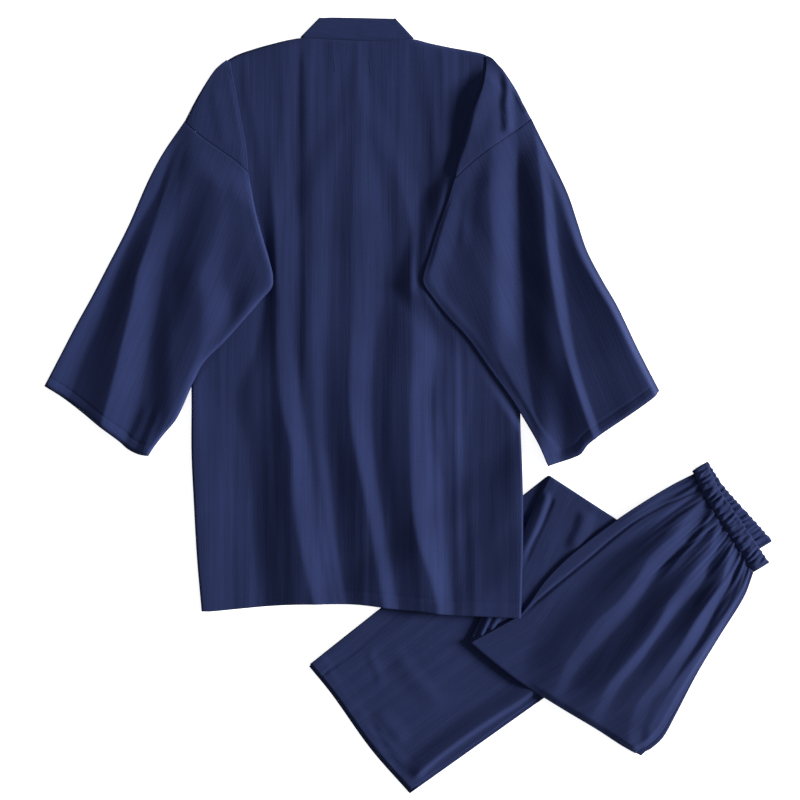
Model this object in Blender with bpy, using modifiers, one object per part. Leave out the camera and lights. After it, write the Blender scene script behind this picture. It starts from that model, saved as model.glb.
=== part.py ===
"""Kimono pyjama set of navy double gauze, laid out flat.

The jacket lies face down with its sleeves drawn down, so that a pleat at each shoulder laps over
the back. The trousers lie partly under the jacket's lower right corner, one leg on the other and
folded twice. X is across, +Y runs towards the collar and +Z is up from the surface they lie on.
Outlines are in millimetres; MM turns them into metres when the points are placed.
"""

import math

import bmesh
import bpy
from mathutils import Vector

MM = 0.001

# Moves the outlines so that the origin lies under the middle of the whole set
CENTRE = Vector((0.84, 0.47, 0.0))

# Cloth, in millimetres
CLOTH = 1.2
SEAM_GAP = 0.8
PITCH = 1.8
WELD = 0.02
LEG_WALL = 2.6
LEG_PITCH = 3.2
SECTION_RISE = 2 * LEG_PITCH

# How cloth slopes down beside the folded trousers, in millimetres
LEG_EDGE = 12.0
LEG_SLOPE = 72.0
JACKET_EDGE = 22.0
JACKET_SLOPE = 48.0
SLEEVE_EDGE = 20.0
SLEEVE_SLOPE = 34.0
OVERLAP_SLOPE = 34.0
BACK_SPREAD = 12.0
BACK_LOFT = 0.2
SLEEVE_LOFT = 0.3
SLEEVE_CLEAR = (14.0, 40.0)
ARMPIT_CLEAR = (2.5, 5.4)

# Grid of the jacket's body: columns across, and rows above the armpit, to the waist and to the hem
COLUMNS = 28
ARMPIT = 0.375
WAIST = 0.62
PLEAT_ROWS = 6
CHEST_ROWS = 3
HEM_ROWS = 9
NECK_ROWS = 10
BAND_COLUMNS = 2
FRONT_COLUMNS = 16
TURN_STEPS = 4

# Jacket outlines: x, y
SHOULDERS = [
    (-230, 439), (-212, 452), (-176, 461), (-138, 469), (-94, 467.6), (-52, 466), (5, 468),
    (50, 460), (102, 445),
]
HEM = [(-263, -264), (-195, -259), (-147, -255), (-65, -255), (-10, -261), (56, -268), (144, -271)]
BAND_TOP = [(-111, 495), (-95, 495.5), (-17, 494)]
BAND_FOOT = [(-136, 470.3), (-94, 468.6), (-52, 467), (7, 469)]

# Fronts: share across at which each meets the band below the neckline and at the neck, the share
# down at which the neckline ends, and the same edges as lines x at the chest and at the neck
FRONT_EDGES = {"left": (4 / 7, 0.29), "right": (3 / 7, 0.715)}
NECK_DEPTH = 0.36
NECKLINE_Y = (195.0, 470.0)
EDGE_LINES = {"left": (-4.0, -111.0), "right": (-125.0, -17.0)}
OVERLAP_MARGIN = 6.0

# Side edges of the back and the fronts: share of the way down, x, y
BACK_SIDES = {
    "left": [
        (0.0, -230, 439),
        (ARMPIT, -284, 168),
        (0.49, -278, 96),
        (WAIST, -276, 15),
        (0.82, -273, -125),
        (1.0, -263, -264),
    ],
    "right": [
        (0.0, 102, 445),
        (ARMPIT, 152, 168),
        (0.49, 147, 83),
        (WAIST, 144, -12),
        (0.82, 147, -125),
        (1.0, 144, -271),
    ],
}
FRONT_SIDES = {
    "left": [(0.0, -230, 439), (0.05, -250, 422), (0.12, -278, 372), (0.2, -283, 310)]
    + BACK_SIDES["left"][1:],
    "right": [(0.0, 102, 445), (0.05, 124, 426), (0.12, 150, 377), (0.2, 153, 310)]
    + BACK_SIDES["right"][1:],
}

# Shoulder pleats and sleeves: x, y
SLEEVES = {
    "left": {
        "shoulder": [(-232, 442), (-248, 429), (-260, 410), (-285, 363)],
        "pleat": [(-224, 438), (-218, 404), (-213, 362), (-208, 323), (-204, 298)],
        "seam": [(-285, 362), (-204, 297)],
        "outer": [
            (-286, 362), (-313, 323), (-332, 287), (-358, 228), (-385, 175), (-424, 101), (-464, 24),
        ],
        "inner": [
            (-204, 297), (-195, 251), (-184, 209), (-175, 179), (-171, 163), (-172, 151), (-185, 137),
            (-208, 110), (-235, 81), (-260, 55), (-275, 28), (-290, -6), (-313, -38), (-332, -65),
        ],
        "cuff": [(-464, 24), (-442, 10), (-391, -29), (-369, -46), (-345, -62), (-332, -65)],
        "cover": [(-226, 436), (-167, 157), (-332, -65), (-464, 24), (-286, 364)],
        "outward": -1,
    },
    "right": {
        "shoulder": [(104, 448), (117, 439), (138, 411), (158, 367)],
        "pleat": [(96, 436), (85, 388), (73, 345), (66, 315), (61, 291)],
        "seam": [(158, 366), (61, 290)],
        "outer": [(159, 366), (182, 319), (205, 270), (230, 197), (268, 127), (296, 70), (322, 18)],
        "inner": [
            (61, 290), (50, 256), (39, 224), (28, 188), (21, 168), (20, 156), (26, 144),
            (49, 116), (79, 84), (107, 46), (134, 8), (147, -13), (166, -47), (180, -78),
        ],
        "cuff": [(322, 18), (309, 6), (244, -40), (230, -51), (218, -63), (180, -78)],
        "cover": [(98, 421), (16, 156), (180, -78), (322, 18), (158, 366)],
        "outward": 1,
    },
}

# Trousers: the hem, the two folds and the waist seam, from the side seam to the centre seam
LEG_HEM = [(-127, -333), (-97, -370), (-47, -440), (3, -497)]
FIRST_FOLD = [(182, -86), (269, -143), (387, -221)]
SECOND_FOLD = [(76, -305), (138, -355), (203, -396), (271, -438), (296, -452)]
WAIST_SEAM = [(362, -108), (441, -221)]
SIDE_EDGE = [(121, -278), (144, -264), (173, -228), (227, -178), (269, -143), (317, -120), (362, -108)]
CENTRE_EDGE = [(327, -425), (342, -398), (372, -343), (408, -284), (441, -221)]
PILE = [
    [LEG_HEM[0], LEG_HEM[-1], FIRST_FOLD[-1], FIRST_FOLD[0]],
    [FIRST_FOLD[0], SECOND_FOLD[0], SECOND_FOLD[-1], FIRST_FOLD[-1]],
    [SECOND_FOLD[0], SECOND_FOLD[-1], (441, -221), (362, -93), (227, -165)],
]
FOLD_SIDE = (0.558, 0.830)
FOLD_BULGE = 5.7
LEG_SECTIONS = ("first", "second", "third")
LEG_ROWS = {"first": 4, "second": 4, "third": 10}
SEAM_SHARE = 0.9985

# Each leg: its columns, its level in each section, how far its hem is drawn up, the span of each
# section's width that it covers, and how many gathers hang from the waist seam
LEGS = {
    "leg_right": {
        "columns": 14,
        "levels": (0, 1, 0),
        "hem": 0.0,
        "spans": ((0.0, 1.0), (0.0, 1.0), (0.012, 0.988)),
        "gathers": 0,
    },
    "leg_left": {
        "columns": 28,
        "levels": (1, 0, 1),
        "hem": 0.018,
        "spans": ((0.01, 0.955), (0.01, 0.97), (0.0, 1.0)),
        "gathers": 7,
    },
}
GATHERS = {"height": 3.4, "start": 0.42, "sway": 0.16, "turns": 5.0, "lead": 0.6}

# Waistband: layers from the top down, as start and end along the waist seam, reach past the seam
# at those two ends, middle height, height and number of gathers, columns
BAND_FIELDS = ("start", "end", "reach", "height", "gather", "gathers", "columns")
BAND_LAYERS = [
    dict(zip(BAND_FIELDS, row))
    for row in (
        (134.0, -5.0, (28.0, 27.0), 9.0, 1.4, 16, 64),
        (-10.0, 114.0, (36.0, 44.0), 5.0, 0.8, 16, 64),
        (114.0, -8.0, (42.0, 34.0), 2.3, 0.0, 0, 12),
        (-5.0, 132.0, (26.0, 27.0), 0.6, 0.0, 0, 12),
    )
]
BAND_SEAM = 0.4
BAND_ROWS = 2
GATHER_END = 0.05

# Long folds: height at the crest, reach to the left and to the right of it, crest points as x, y
FOLD_FADE = 0.22
SLEEVE_FADE = (0.1, 0.12)
BACK_FOLDS = [
    (5.5, 34, 20, [(-168, 210), (-162, 96), (-144, -51), (-139, -168), (-112, -262)]),
    (3.6, 16, 30, [(-130, 400), (-130, 200), (-130, -19), (-120, -120)]),
    (6.5, 26, 24, [(-72, 340), (-75, 127), (-76, 6), (-60, -81), (-48, -138), (-28, -262)]),
    (6.0, 36, 30, [(0, 330), (0, 93), (2, -60), (6, -138), (17, -197), (36, -266)]),
    (2.4, 24, 30, [(66, -20), (70, -120), (76, -262)]),
    (2.6, 26, 34, [(-240, 10), (-238, -100), (-232, -262)]),
]
SLEEVE_FOLDS = {
    "left": [
        (6.5, 20, 32, [(-300, 275), (-330, 210), (-358, 134), (-382, 32), (-388, -40)]),
        (2.4, 20, 30, [(-262, 260), (-268, 170), (-280, 80)]),
    ],
    "right": [
        (7.0, 32, 14, [(164, 330), (171, 289), (181, 209), (194, 127), (214, 28), (232, -60)]),
        (5.5, 26, 18, [(214, 225), (230, 197), (251, 143), (275, 84), (308, 2)]),
        (3.0, 24, 26, [(112, 330), (115, 240), (120, 150)]),
    ],
}

NAVY = (0.020, 0.028, 0.092, 1.0)
NAVY_SHADES = {
    "jacket_back": 1.0,
    "jacket_front_left": 0.94,
    "jacket_front_right": 0.97,
    "collar_band": 1.08,
    "sleeve_left": 1.04,
    "sleeve_right": 1.02,
    "leg_right": 0.92,
    "leg_left": 1.0,
    "waistband": 1.1,
}


def smooth(start, end, value):
    """A soft step from 0 at start to 1 at end."""
    share = min(max((value - start) / (end - start), 0.0), 1.0)
    return share * share * (3.0 - 2.0 * share)


def lean(value):
    """A step from 0 to 1 that is half soft and half straight."""
    return (smooth(0.0, 1.0, value) + min(max(value, 0.0), 1.0)) / 2


def mix(first, second, share):
    return tuple(a + (b - a) * share for a, b in zip(first, second))


def lengths_along(points):
    marks = [0.0]
    for first, second in zip(points, points[1:]):
        marks.append(marks[-1] + math.dist(first, second))
    return [mark / marks[-1] for mark in marks]


def through(marks, points, share):
    """A smooth line that passes each point at its mark, read at a share between 0 and 1."""
    last = len(points) - 1
    step = 0
    while step < last - 1 and share > marks[step + 1]:
        step += 1
    slopes = []
    for index in (step, step + 1):
        before, after = max(index - 1, 0), min(index + 1, last)
        width = marks[after] - marks[before]
        slopes.append([(b - a) / width for a, b in zip(points[before], points[after])])
    width = marks[step + 1] - marks[step]
    t = (share - marks[step]) / width
    weights = (2 * t**3 - 3 * t**2 + 1, t**3 - 2 * t**2 + t, 3 * t**2 - 2 * t**3, t**3 - t**2)
    return tuple(
        weights[0] * a + weights[1] * width * u + weights[2] * b + weights[3] * width * w
        for a, b, u, w in zip(points[step], points[step + 1], slopes[0], slopes[1])
    )


def curve(points, share):
    return through(lengths_along(points), points, share)


def side_edge(table, share):
    return through([row[0] for row in table], [row[1:] for row in table], share)


def heading(points, share):
    """Unit direction of a smooth line at a share of its length."""
    before = curve(points, max(share - 0.01, 0.0))
    after = curve(points, min(share + 0.01, 1.0))
    length = math.dist(before, after)
    return (after[0] - before[0]) / length, (after[1] - before[1]) / length


def patch(top, bottom, first, last, across, down):
    """A point of the sheet that four edges bound. The edges are functions of a share."""
    blend = []
    for axis in (0, 1):
        value = (1 - down) * top(across)[axis] + down * bottom(across)[axis]
        value += (1 - across) * first(down)[axis] + across * last(down)[axis]
        value -= (1 - across) * ((1 - down) * first(0.0)[axis] + down * first(1.0)[axis])
        value -= across * ((1 - down) * last(0.0)[axis] + down * last(1.0)[axis])
        blend.append(value)
    return tuple(blend)


def outside(outline, x, y):
    """How far a point lies outside a convex outline; below zero when it lies within."""
    pairs = list(zip(outline, outline[1:] + outline[:1]))
    turning = sum(ax * by - bx * ay for (ax, ay), (bx, by) in pairs)
    distances = []
    for (ax, ay), (bx, by) in pairs:
        side = ((bx - ax) * (y - ay) - (by - ay) * (x - ax)) / math.dist((ax, ay), (bx, by))
        distances.append(-side if turning > 0 else side)
    return max(distances)


def pile_height(sections, x, y, edge=LEG_EDGE, slope=LEG_SLOPE):
    """Top of the trousers' first sections, with the slope of cloth that lies over their edges."""
    height = 0.0
    for outline in PILE[:sections]:
        height += SECTION_RISE * (1 - smooth(edge, edge + slope, outside(outline, x, y)))
    return height


def jacket_ground(x, y):
    """Lowest middle height of a jacket panel at a place."""
    return CLOTH / 2 + pile_height(3, x, y, JACKET_EDGE, JACKET_SLOPE)


def fronts_overlap(x, y, spread=0.0):
    """1 where the two fronts lie on each other, and 0 clear of their edges by the spread."""
    neckward = lean((y - NECKLINE_Y[0]) / (NECKLINE_Y[1] - NECKLINE_Y[0]))
    margin = OVERLAP_MARGIN + spread
    chest, neck = EDGE_LINES["left"]
    left_edge = chest + (neck - chest) * neckward + margin
    chest, neck = EDGE_LINES["right"]
    right_edge = chest + (neck - chest) * neckward - margin
    on_left_front = 1 - smooth(left_edge, left_edge + OVERLAP_SLOPE, x)
    under_right_front = smooth(right_edge - OVERLAP_SLOPE, right_edge, x)
    return min(on_left_front, under_right_front)


def back_height(x, y):
    return jacket_ground(x, y) + BACK_LOFT + PITCH * (1 + fronts_overlap(x, y, BACK_SPREAD))


def fold_height(folds, x, y):
    """Height that the long folds add at a place."""
    height = 0.0
    for crest_height, left, right, crest in folds:
        marks = lengths_along(crest)
        best = None
        for step, (first, second) in enumerate(zip(crest, crest[1:])):
            along = (second[0] - first[0], second[1] - first[1])
            length = math.hypot(*along)
            share = ((x - first[0]) * along[0] + (y - first[1]) * along[1]) / length**2
            share = min(max(share, 0.0), 1.0)
            near = mix(first, second, share)
            distance = math.dist(near, (x, y))
            if best is None or distance < best[0]:
                side = (x - near[0]) * -along[1] + (y - near[1]) * along[0]
                best = (distance, side, marks[step] + (marks[step + 1] - marks[step]) * share)
        distance, side, share = best
        reach = right if side > 0 else left
        fade = smooth(0.0, FOLD_FADE, share)
        height += crest_height * fade * (1 - smooth(0.0, reach, distance))
    return height


def clear_of_sleeves(x, y):
    """0 under a sleeve, rising to 1 beside it."""
    distance = min(outside(SLEEVES[side]["cover"], x, y) for side in SLEEVES)
    return smooth(*SLEEVE_CLEAR, distance)


def body_point(sides, across, down):
    """Place of a point of the jacket's body, by its share across and down."""
    return patch(
        lambda share: curve(SHOULDERS, share),
        lambda share: curve(HEM, share),
        lambda share: side_edge(sides["left"], share),
        lambda share: side_edge(sides["right"], share),
        across,
        down,
    )


def row_shares():
    """How far down each row of the body lies."""
    shares = [ARMPIT * row / PLEAT_ROWS for row in range(PLEAT_ROWS)]
    shares += [ARMPIT + (WAIST - ARMPIT) * row / CHEST_ROWS for row in range(CHEST_ROWS)]
    shares += [WAIST + (1 - WAIST) * row / HEM_ROWS for row in range(HEM_ROWS + 1)]
    return shares


def turn(place, outward, low, high, share):
    """A point of the half circle by which cloth turns over from one height to another."""
    radius = (high - low) / 2
    bulge = abs(radius) * math.sin(math.pi * share)
    return (
        place[0] + outward[0] * bulge,
        place[1] + outward[1] * bulge,
        (low + high) / 2 - radius * math.cos(math.pi * share),
    )


def add_grid(cloth, columns, rows, place):
    """Adds a grid whose points are set by place(column, row), in millimetres."""
    made = bmesh.ops.create_grid(cloth, x_segments=columns, y_segments=rows, size=0.5)
    for point in made["verts"]:
        column = round((point.co.x + 0.5) * columns)
        row = round((point.co.y + 0.5) * rows)
        point.co = (Vector(place(column, row)) + CENTRE) * MM


def cloth_material(name):
    shade = NAVY_SHADES[name]
    material = bpy.data.materials.new(name + "_double_gauze")
    material.use_nodes = True
    surface = material.node_tree.nodes["Principled BSDF"]
    colour = [value * shade for value in NAVY[:3]] + [1.0]
    surface.inputs["Base Color"].default_value = colour
    surface.inputs["Roughness"].default_value = 0.92
    surface.inputs["Metallic"].default_value = 0.0
    surface.inputs["Sheen Weight"].default_value = 0.2
    material.diffuse_color = colour
    return material


def finish_cloth(name, cloth, collection, wall=CLOTH):
    """Joins a piece's grids, gives the sheet its wall and puts it in the collection."""
    bmesh.ops.remove_doubles(cloth, verts=cloth.verts, dist=WELD * MM)
    bmesh.ops.recalc_face_normals(cloth, faces=cloth.faces)
    bmesh.ops.triangulate(cloth, faces=cloth.faces, quad_method="SHORT_EDGE")
    mesh = bpy.data.meshes.new(name)
    cloth.to_mesh(mesh)
    cloth.free()
    mesh.shade_smooth()
    piece = bpy.data.objects.new(name, mesh)
    collection.objects.link(piece)
    piece.data.materials.append(cloth_material(name))
    thickness = piece.modifiers.new("wall", "SOLIDIFY")
    thickness.thickness = wall * MM
    thickness.offset = 0.0
    return piece


def make_back(collection):
    """The back panel with the two pleats that lap over it at the shoulders."""
    cloth = bmesh.new()
    shares = row_shares()

    def base(column, row):
        x, y = body_point(BACK_SIDES, column / COLUMNS, shares[row])
        folds = fold_height(BACK_FOLDS, x, y) * clear_of_sleeves(x, y)
        return x, y, back_height(x, y) + folds

    add_grid(cloth, COLUMNS, len(shares) - 1, base)
    for side, edge_column in (("left", 0), ("right", COLUMNS)):
        add_pleat(cloth, side, lambda row, column=edge_column: base(column, row))
    return finish_cloth("jacket_back", cloth, collection)


def add_pleat(cloth, side, base_edge):
    """The cloth that turns over at the hidden fold, comes back to the visible one and turns again."""
    sleeve = SLEEVES[side]
    under_columns, over_columns = 4, 6
    columns = TURN_STEPS + under_columns + TURN_STEPS + over_columns
    sign = sleeve["outward"]
    hidden = [row[1:] for row in BACK_SIDES[side][:2]]
    along = heading(hidden, 0.5)
    out = (-along[1] * sign, along[0] * sign)

    def place(column, row):
        share = row / PLEAT_ROWS
        edge = base_edge(row)
        fold = curve(sleeve["pleat"], share)
        edge_over = sleeve_height(side, *edge[:2], 0)
        fold_under = sleeve_height(side, *fold, 0)
        fold_over = sleeve_height(side, *fold, 1)
        if column <= TURN_STEPS:
            return turn(edge, out, edge[2], edge_over, column / TURN_STEPS)
        column -= TURN_STEPS
        if column <= under_columns:
            x, y = mix(edge[:2], fold, column / under_columns)
            return x, y, sleeve_height(side, x, y, 0)
        column -= under_columns
        if column <= TURN_STEPS:
            return turn(fold, (-out[0], -out[1]), fold_under, fold_over, column / TURN_STEPS)
        column -= TURN_STEPS
        x, y = mix(fold, curve(sleeve["shoulder"], share), column / over_columns)
        return x, y, sleeve_height(side, x, y, 1)

    add_grid(cloth, columns, PLEAT_ROWS, place)


def sleeve_height(side, x, y, level):
    """Middle height of a sleeve's lower layer (level 0) or upper layer (level 1)."""
    sign = SLEEVES[side]["outward"]
    table = BACK_SIDES[side]
    top, armpit, foot = table[0], table[1], table[-1]
    if y > armpit[2]:
        edge_x = armpit[1] + (top[1] - armpit[1]) * (y - armpit[2]) / (top[2] - armpit[2])
    else:
        edge_x = armpit[1] + (foot[1] - armpit[1]) * (y - armpit[2]) / (foot[2] - armpit[2])
    beyond = (x - edge_x) * sign
    on_body = 1 - smooth(SLEEVE_EDGE, SLEEVE_EDGE + SLEEVE_SLOPE, beyond)
    lower = CLOTH / 2 + (back_height(x, y) + PITCH - CLOTH / 2) * on_body
    return lower + (PITCH + SLEEVE_LOFT) * level


def make_front(side, collection):
    """One front, which runs from the side seam past the centre to the collar band."""
    shares = row_shares()
    cloth = bmesh.new()

    def place(column, row):
        sewn = band_edge(side, shares[row])
        start, end, way = (0.0, sewn, -1) if side == "left" else (sewn, 1.0, 1)
        across = start + (end - start) * column / FRONT_COLUMNS
        x, y = body_point(FRONT_SIDES, across, shares[row])
        height = jacket_ground(x, y)
        if side == "right":
            height += PITCH * fronts_overlap(x, y)
        below_shoulder = SEAM_GAP if row == 0 else 0.0
        return x + way * SEAM_GAP / 2, y - below_shoulder, height

    add_grid(cloth, FRONT_COLUMNS, len(shares) - 1, place)
    return finish_cloth("jacket_front_" + side, cloth, collection)


def band_edge(side, down):
    """Share across the body at which the collar band is sewn to a front."""
    chest, neck = FRONT_EDGES[side]
    return neck + (chest - neck) * lean(down / NECK_DEPTH)


def make_collar(collection):
    """The band: up one front, round the back of the neck, and down the other front."""
    shares = row_shares()[1:]
    stations = [("left", down) for down in reversed(shares)]
    stations += [("left_turn", step / TURN_STEPS) for step in range(TURN_STEPS)]
    stations += [("neck", step / NECK_ROWS) for step in range(NECK_ROWS)]
    stations += [("right_turn", step / TURN_STEPS) for step in range(TURN_STEPS)]
    stations += [("right_corner", 0.0)]
    stations += [("right", down) for down in shares]
    neck_height = CLOTH / 2 + PITCH
    diagonal = math.sqrt(0.5)
    corner_out = {"left_turn": (-diagonal, diagonal), "right_turn": (diagonal, diagonal)}
    cloth = bmesh.new()

    def place(column, row):
        kind, share = stations[row]
        across = column / BAND_COLUMNS
        if kind in ("left", "right"):
            width = BAND_COLUMNS / COLUMNS * (1 if kind == "left" else -1)
            x, y = body_point(FRONT_SIDES, band_edge(kind, share) + width * across, share)
            rise = PITCH * fronts_overlap(x, y) if kind == "right" else 0.0
            nudge = (SEAM_GAP if kind == "left" else -SEAM_GAP) / 2
            return x + nudge, y, jacket_ground(x, y) + rise
        end = 0.0 if kind == "left_turn" else 1.0
        if kind == "neck":
            end = share
        x, y = mix(curve(BAND_FOOT, end), curve(BAND_TOP, end), across)
        if kind == "neck":
            return x, y, neck_height
        if kind == "right_corner":
            return x, y, CLOTH / 2
        low, high = (CLOTH / 2, neck_height) if kind == "left_turn" else (neck_height, CLOTH / 2)
        return turn((x, y), corner_out[kind], low, high, share)

    add_grid(cloth, BAND_COLUMNS, len(stations) - 1, place)
    return finish_cloth("collar_band", cloth, collection)


def make_sleeve(side, collection):
    """A flattened tube from the dropped armhole to the cuff, open at both ends."""
    sleeve = SLEEVES[side]
    sign = sleeve["outward"]
    over_columns, under_columns, rows = 12, 8, 12
    columns = over_columns + under_columns + 2 * TURN_STEPS
    back_armpit = BACK_SIDES[side][1][1:]
    armpit = (back_armpit[0] + ARMPIT_CLEAR[0] * sign, back_armpit[1] - ARMPIT_CLEAR[1])
    seam_ends = (sleeve["seam"][0], sleeve["seam"][-1])

    def under_seam(share):
        if share < 0.5:
            return mix(seam_ends[0], armpit, share * 2)
        return mix(armpit, seam_ends[1], share * 2 - 1)

    def sheet_point(seam, across, down):
        x, y = patch(
            seam,
            lambda share: curve(sleeve["cuff"], share),
            lambda share: curve(sleeve["outer"], share),
            lambda share: curve(sleeve["inner"], share),
            across,
            down,
        )
        return x, y - SEAM_GAP * (1 - down)

    def over(across, down):
        x, y = sheet_point(lambda share: curve(sleeve["seam"], share), across, down)
        inside = min(across, 1.0 - across)
        fade = smooth(0.0, SLEEVE_FADE[0], inside) * smooth(0.0, SLEEVE_FADE[1], down)
        return x, y, sleeve_height(side, x, y, 1) + fold_height(SLEEVE_FOLDS[side], x, y) * fade

    def under(across, down):
        x, y = sheet_point(under_seam, across, down)
        return x, y, sleeve_height(side, x, y, 0)

    def edge_turn(edge, across, down, share, upwards):
        along = heading(sleeve[edge], down)
        way = sign if edge == "outer" else -sign
        out = (-along[1] * way, along[0] * way)
        low, high = under(across, down), over(across, down)
        start, end = (low[2], high[2]) if upwards else (high[2], low[2])
        return turn(high, out, start, end, share)

    def place(column, row):
        down = row / rows
        if column <= over_columns:
            return over(column / over_columns, down)
        column -= over_columns
        if column <= TURN_STEPS:
            return edge_turn("inner", 1.0, down, column / TURN_STEPS, False)
        column -= TURN_STEPS
        if column <= under_columns:
            return under(1.0 - column / under_columns, down)
        column -= under_columns
        return edge_turn("outer", 0.0, down, column / TURN_STEPS, True)

    cloth = bmesh.new()
    add_grid(cloth, columns, rows, place)
    return finish_cloth("sleeve_" + side, cloth, collection)


def fold_line(points, share, outwards):
    """Middle of the turn of a fold of the trousers, set in from the fold's outer edge."""
    x, y = curve(points, share)
    return x - FOLD_SIDE[0] * FOLD_BULGE * outwards, y - FOLD_SIDE[1] * FOLD_BULGE * outwards


def make_leg(name, collection):
    """A flattened leg from its hem to the waist seam, folded over twice."""
    leg = LEGS[name]
    stations = []
    for section in LEG_SECTIONS:
        rows = LEG_ROWS[section]
        stations += [(section, row / rows) for row in range(rows)]
        if section != "third":
            stations += [(section + "_turn", step / TURN_STEPS) for step in range(TURN_STEPS)]
    stations.append(("third", 1.0))
    edges = {
        "first": (
            lambda share: curve(LEG_HEM, share),
            lambda share: fold_line(FIRST_FOLD, share, 1),
        ),
        "second": (
            lambda share: fold_line(FIRST_FOLD, share, 1),
            lambda share: fold_line(SECOND_FOLD, share, -1),
        ),
    }

    def height(section, x, y):
        return pile_height(section, x, y) + LEG_WALL / 2 + LEG_PITCH * leg["levels"][section]

    def flat(section, across, down):
        low, high = leg["spans"][section]
        if section:
            low, high = mix(leg["spans"][section - 1], leg["spans"][section], down)
        across = low + (high - low) * across
        if section == 2:
            return patch(
                lambda share: fold_line(SECOND_FOLD, share, -1),
                lambda share: curve(WAIST_SEAM, share),
                lambda share: curve([fold_line(SECOND_FOLD, 0.0, -1)] + SIDE_EDGE, share),
                lambda share: curve([fold_line(SECOND_FOLD, 1.0, -1)] + CENTRE_EDGE, share),
                across,
                down,
            )
        start, end = edges["second" if section else "first"]
        return mix(start(across), end(across), down)

    def gathers(across, down):
        if not leg["gathers"]:
            return 0.0
        wave = 0.5 - 0.5 * math.cos(2 * math.pi * leg["gathers"] * across)
        reach = GATHERS["start"] + GATHERS["sway"] * math.sin(GATHERS["turns"] * across + GATHERS["lead"])
        return GATHERS["height"] * wave * smooth(reach, 1.0, down)

    def place(column, row):
        across = column / leg["columns"]
        kind, share = stations[row]
        if kind == "first_turn":
            x, y = flat(0, across, 1.0)
            return turn((x, y), FOLD_SIDE, height(0, x, y), height(1, x, y), share)
        if kind == "second_turn":
            x, y = flat(1, across, 1.0)
            back = (-FOLD_SIDE[0], -FOLD_SIDE[1])
            return turn((x, y), back, height(1, x, y), height(2, x, y), share)
        section = LEG_SECTIONS.index(kind)
        down = min(share, SEAM_SHARE)
        if section == 0:
            down = leg["hem"] + (1 - leg["hem"]) * share
        x, y = flat(section, across, down)
        extra = gathers(across, share) if section == 2 else 0.0
        return x, y, height(section, x, y) + extra

    cloth = bmesh.new()
    add_grid(cloth, leg["columns"], len(stations) - 1, place)
    return finish_cloth(name, cloth, collection, LEG_WALL)


def make_waistband(collection):
    """The gathered casing: a strip round the waist, folded flat so that it lies in four layers."""
    start, end = WAIST_SEAM
    length = math.dist(start, end)
    along = ((end[0] - start[0]) / length, (end[1] - start[1]) / length)
    out = (-along[1], along[0])
    stations = []
    for index, layer in enumerate(BAND_LAYERS):
        count = layer["columns"]
        last = index == len(BAND_LAYERS) - 1
        stations += [(index, step / count) for step in range(count + last)]
        if not last:
            stations += [(index + 0.5, step / TURN_STEPS) for step in range(TURN_STEPS)]

    def layer_point(layer, share, across):
        along_waist = layer["start"] + (layer["end"] - layer["start"]) * share
        reach = layer["reach"][0] + (layer["reach"][1] - layer["reach"][0]) * share
        outwards = BAND_SEAM + (reach - BAND_SEAM) * across
        x = start[0] + along[0] * along_waist + out[0] * outwards
        y = start[1] + along[1] * along_waist + out[1] * outwards
        fade = smooth(0.0, GATHER_END, min(share, 1.0 - share))
        wave = math.cos(2 * math.pi * layer["gathers"] * share) * layer["gather"] * fade
        return x, y, pile_height(2, x, y) + layer["height"] - wave

    def place(column, row):
        index, share = stations[column]
        across = row / BAND_ROWS
        layer = BAND_LAYERS[int(index)]
        if index == int(index):
            return layer_point(layer, share, across)
        upper = layer_point(layer, 1.0, across)
        lower = layer_point(BAND_LAYERS[int(index) + 1], 0.0, across)
        way = 1 if layer["end"] > layer["start"] else -1
        middle = mix(upper[:2], lower[:2], share)
        return turn(middle, (along[0] * way, along[1] * way), upper[2], lower[2], share)

    cloth = bmesh.new()
    add_grid(cloth, len(stations) - 1, BAND_ROWS, place)
    return finish_cloth("waistband", cloth, collection)


def clear_scene():
    for found in list(bpy.data.objects):
        bpy.data.objects.remove(found, do_unlink=True)


def main():
    clear_scene()
    collection = bpy.data.collections.new("kimono_pyjama_set")
    bpy.context.scene.collection.children.link(collection)
    make_back(collection)
    for side in SLEEVES:
        make_front(side, collection)
        make_sleeve(side, collection)
    make_collar(collection)
    for name in LEGS:
        make_leg(name, collection)
    make_waistband(collection)


main()
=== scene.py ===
import math
from functools import partial

import bmesh
import bpy
import numpy as np
from mathutils import Matrix, Vector, noise


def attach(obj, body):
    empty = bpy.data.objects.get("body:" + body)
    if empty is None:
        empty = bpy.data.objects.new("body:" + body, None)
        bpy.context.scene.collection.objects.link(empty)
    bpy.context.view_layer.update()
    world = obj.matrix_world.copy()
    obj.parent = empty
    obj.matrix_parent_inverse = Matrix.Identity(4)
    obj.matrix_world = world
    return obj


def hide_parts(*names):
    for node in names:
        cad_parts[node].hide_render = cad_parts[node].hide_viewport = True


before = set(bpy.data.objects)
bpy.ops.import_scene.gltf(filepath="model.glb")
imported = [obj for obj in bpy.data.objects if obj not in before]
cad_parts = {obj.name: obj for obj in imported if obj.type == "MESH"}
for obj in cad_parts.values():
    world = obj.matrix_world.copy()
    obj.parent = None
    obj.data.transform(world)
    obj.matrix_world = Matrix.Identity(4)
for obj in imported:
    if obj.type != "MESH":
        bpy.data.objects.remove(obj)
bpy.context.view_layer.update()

# Kimono pyjama set laid out flat: the jacket face down, its sleeves drawn down so that a pleat laps
# over the back at each shoulder, and the trousers folded twice and lying partly under it.
# Measures are in millimetres from the middle of the layout; CENTRE and MM put them into the frame.
MM = 0.001
CENTRE = np.array((0.84, 0.47, 0.0))
WELD = 0.02
TINY = 1e-6

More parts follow.
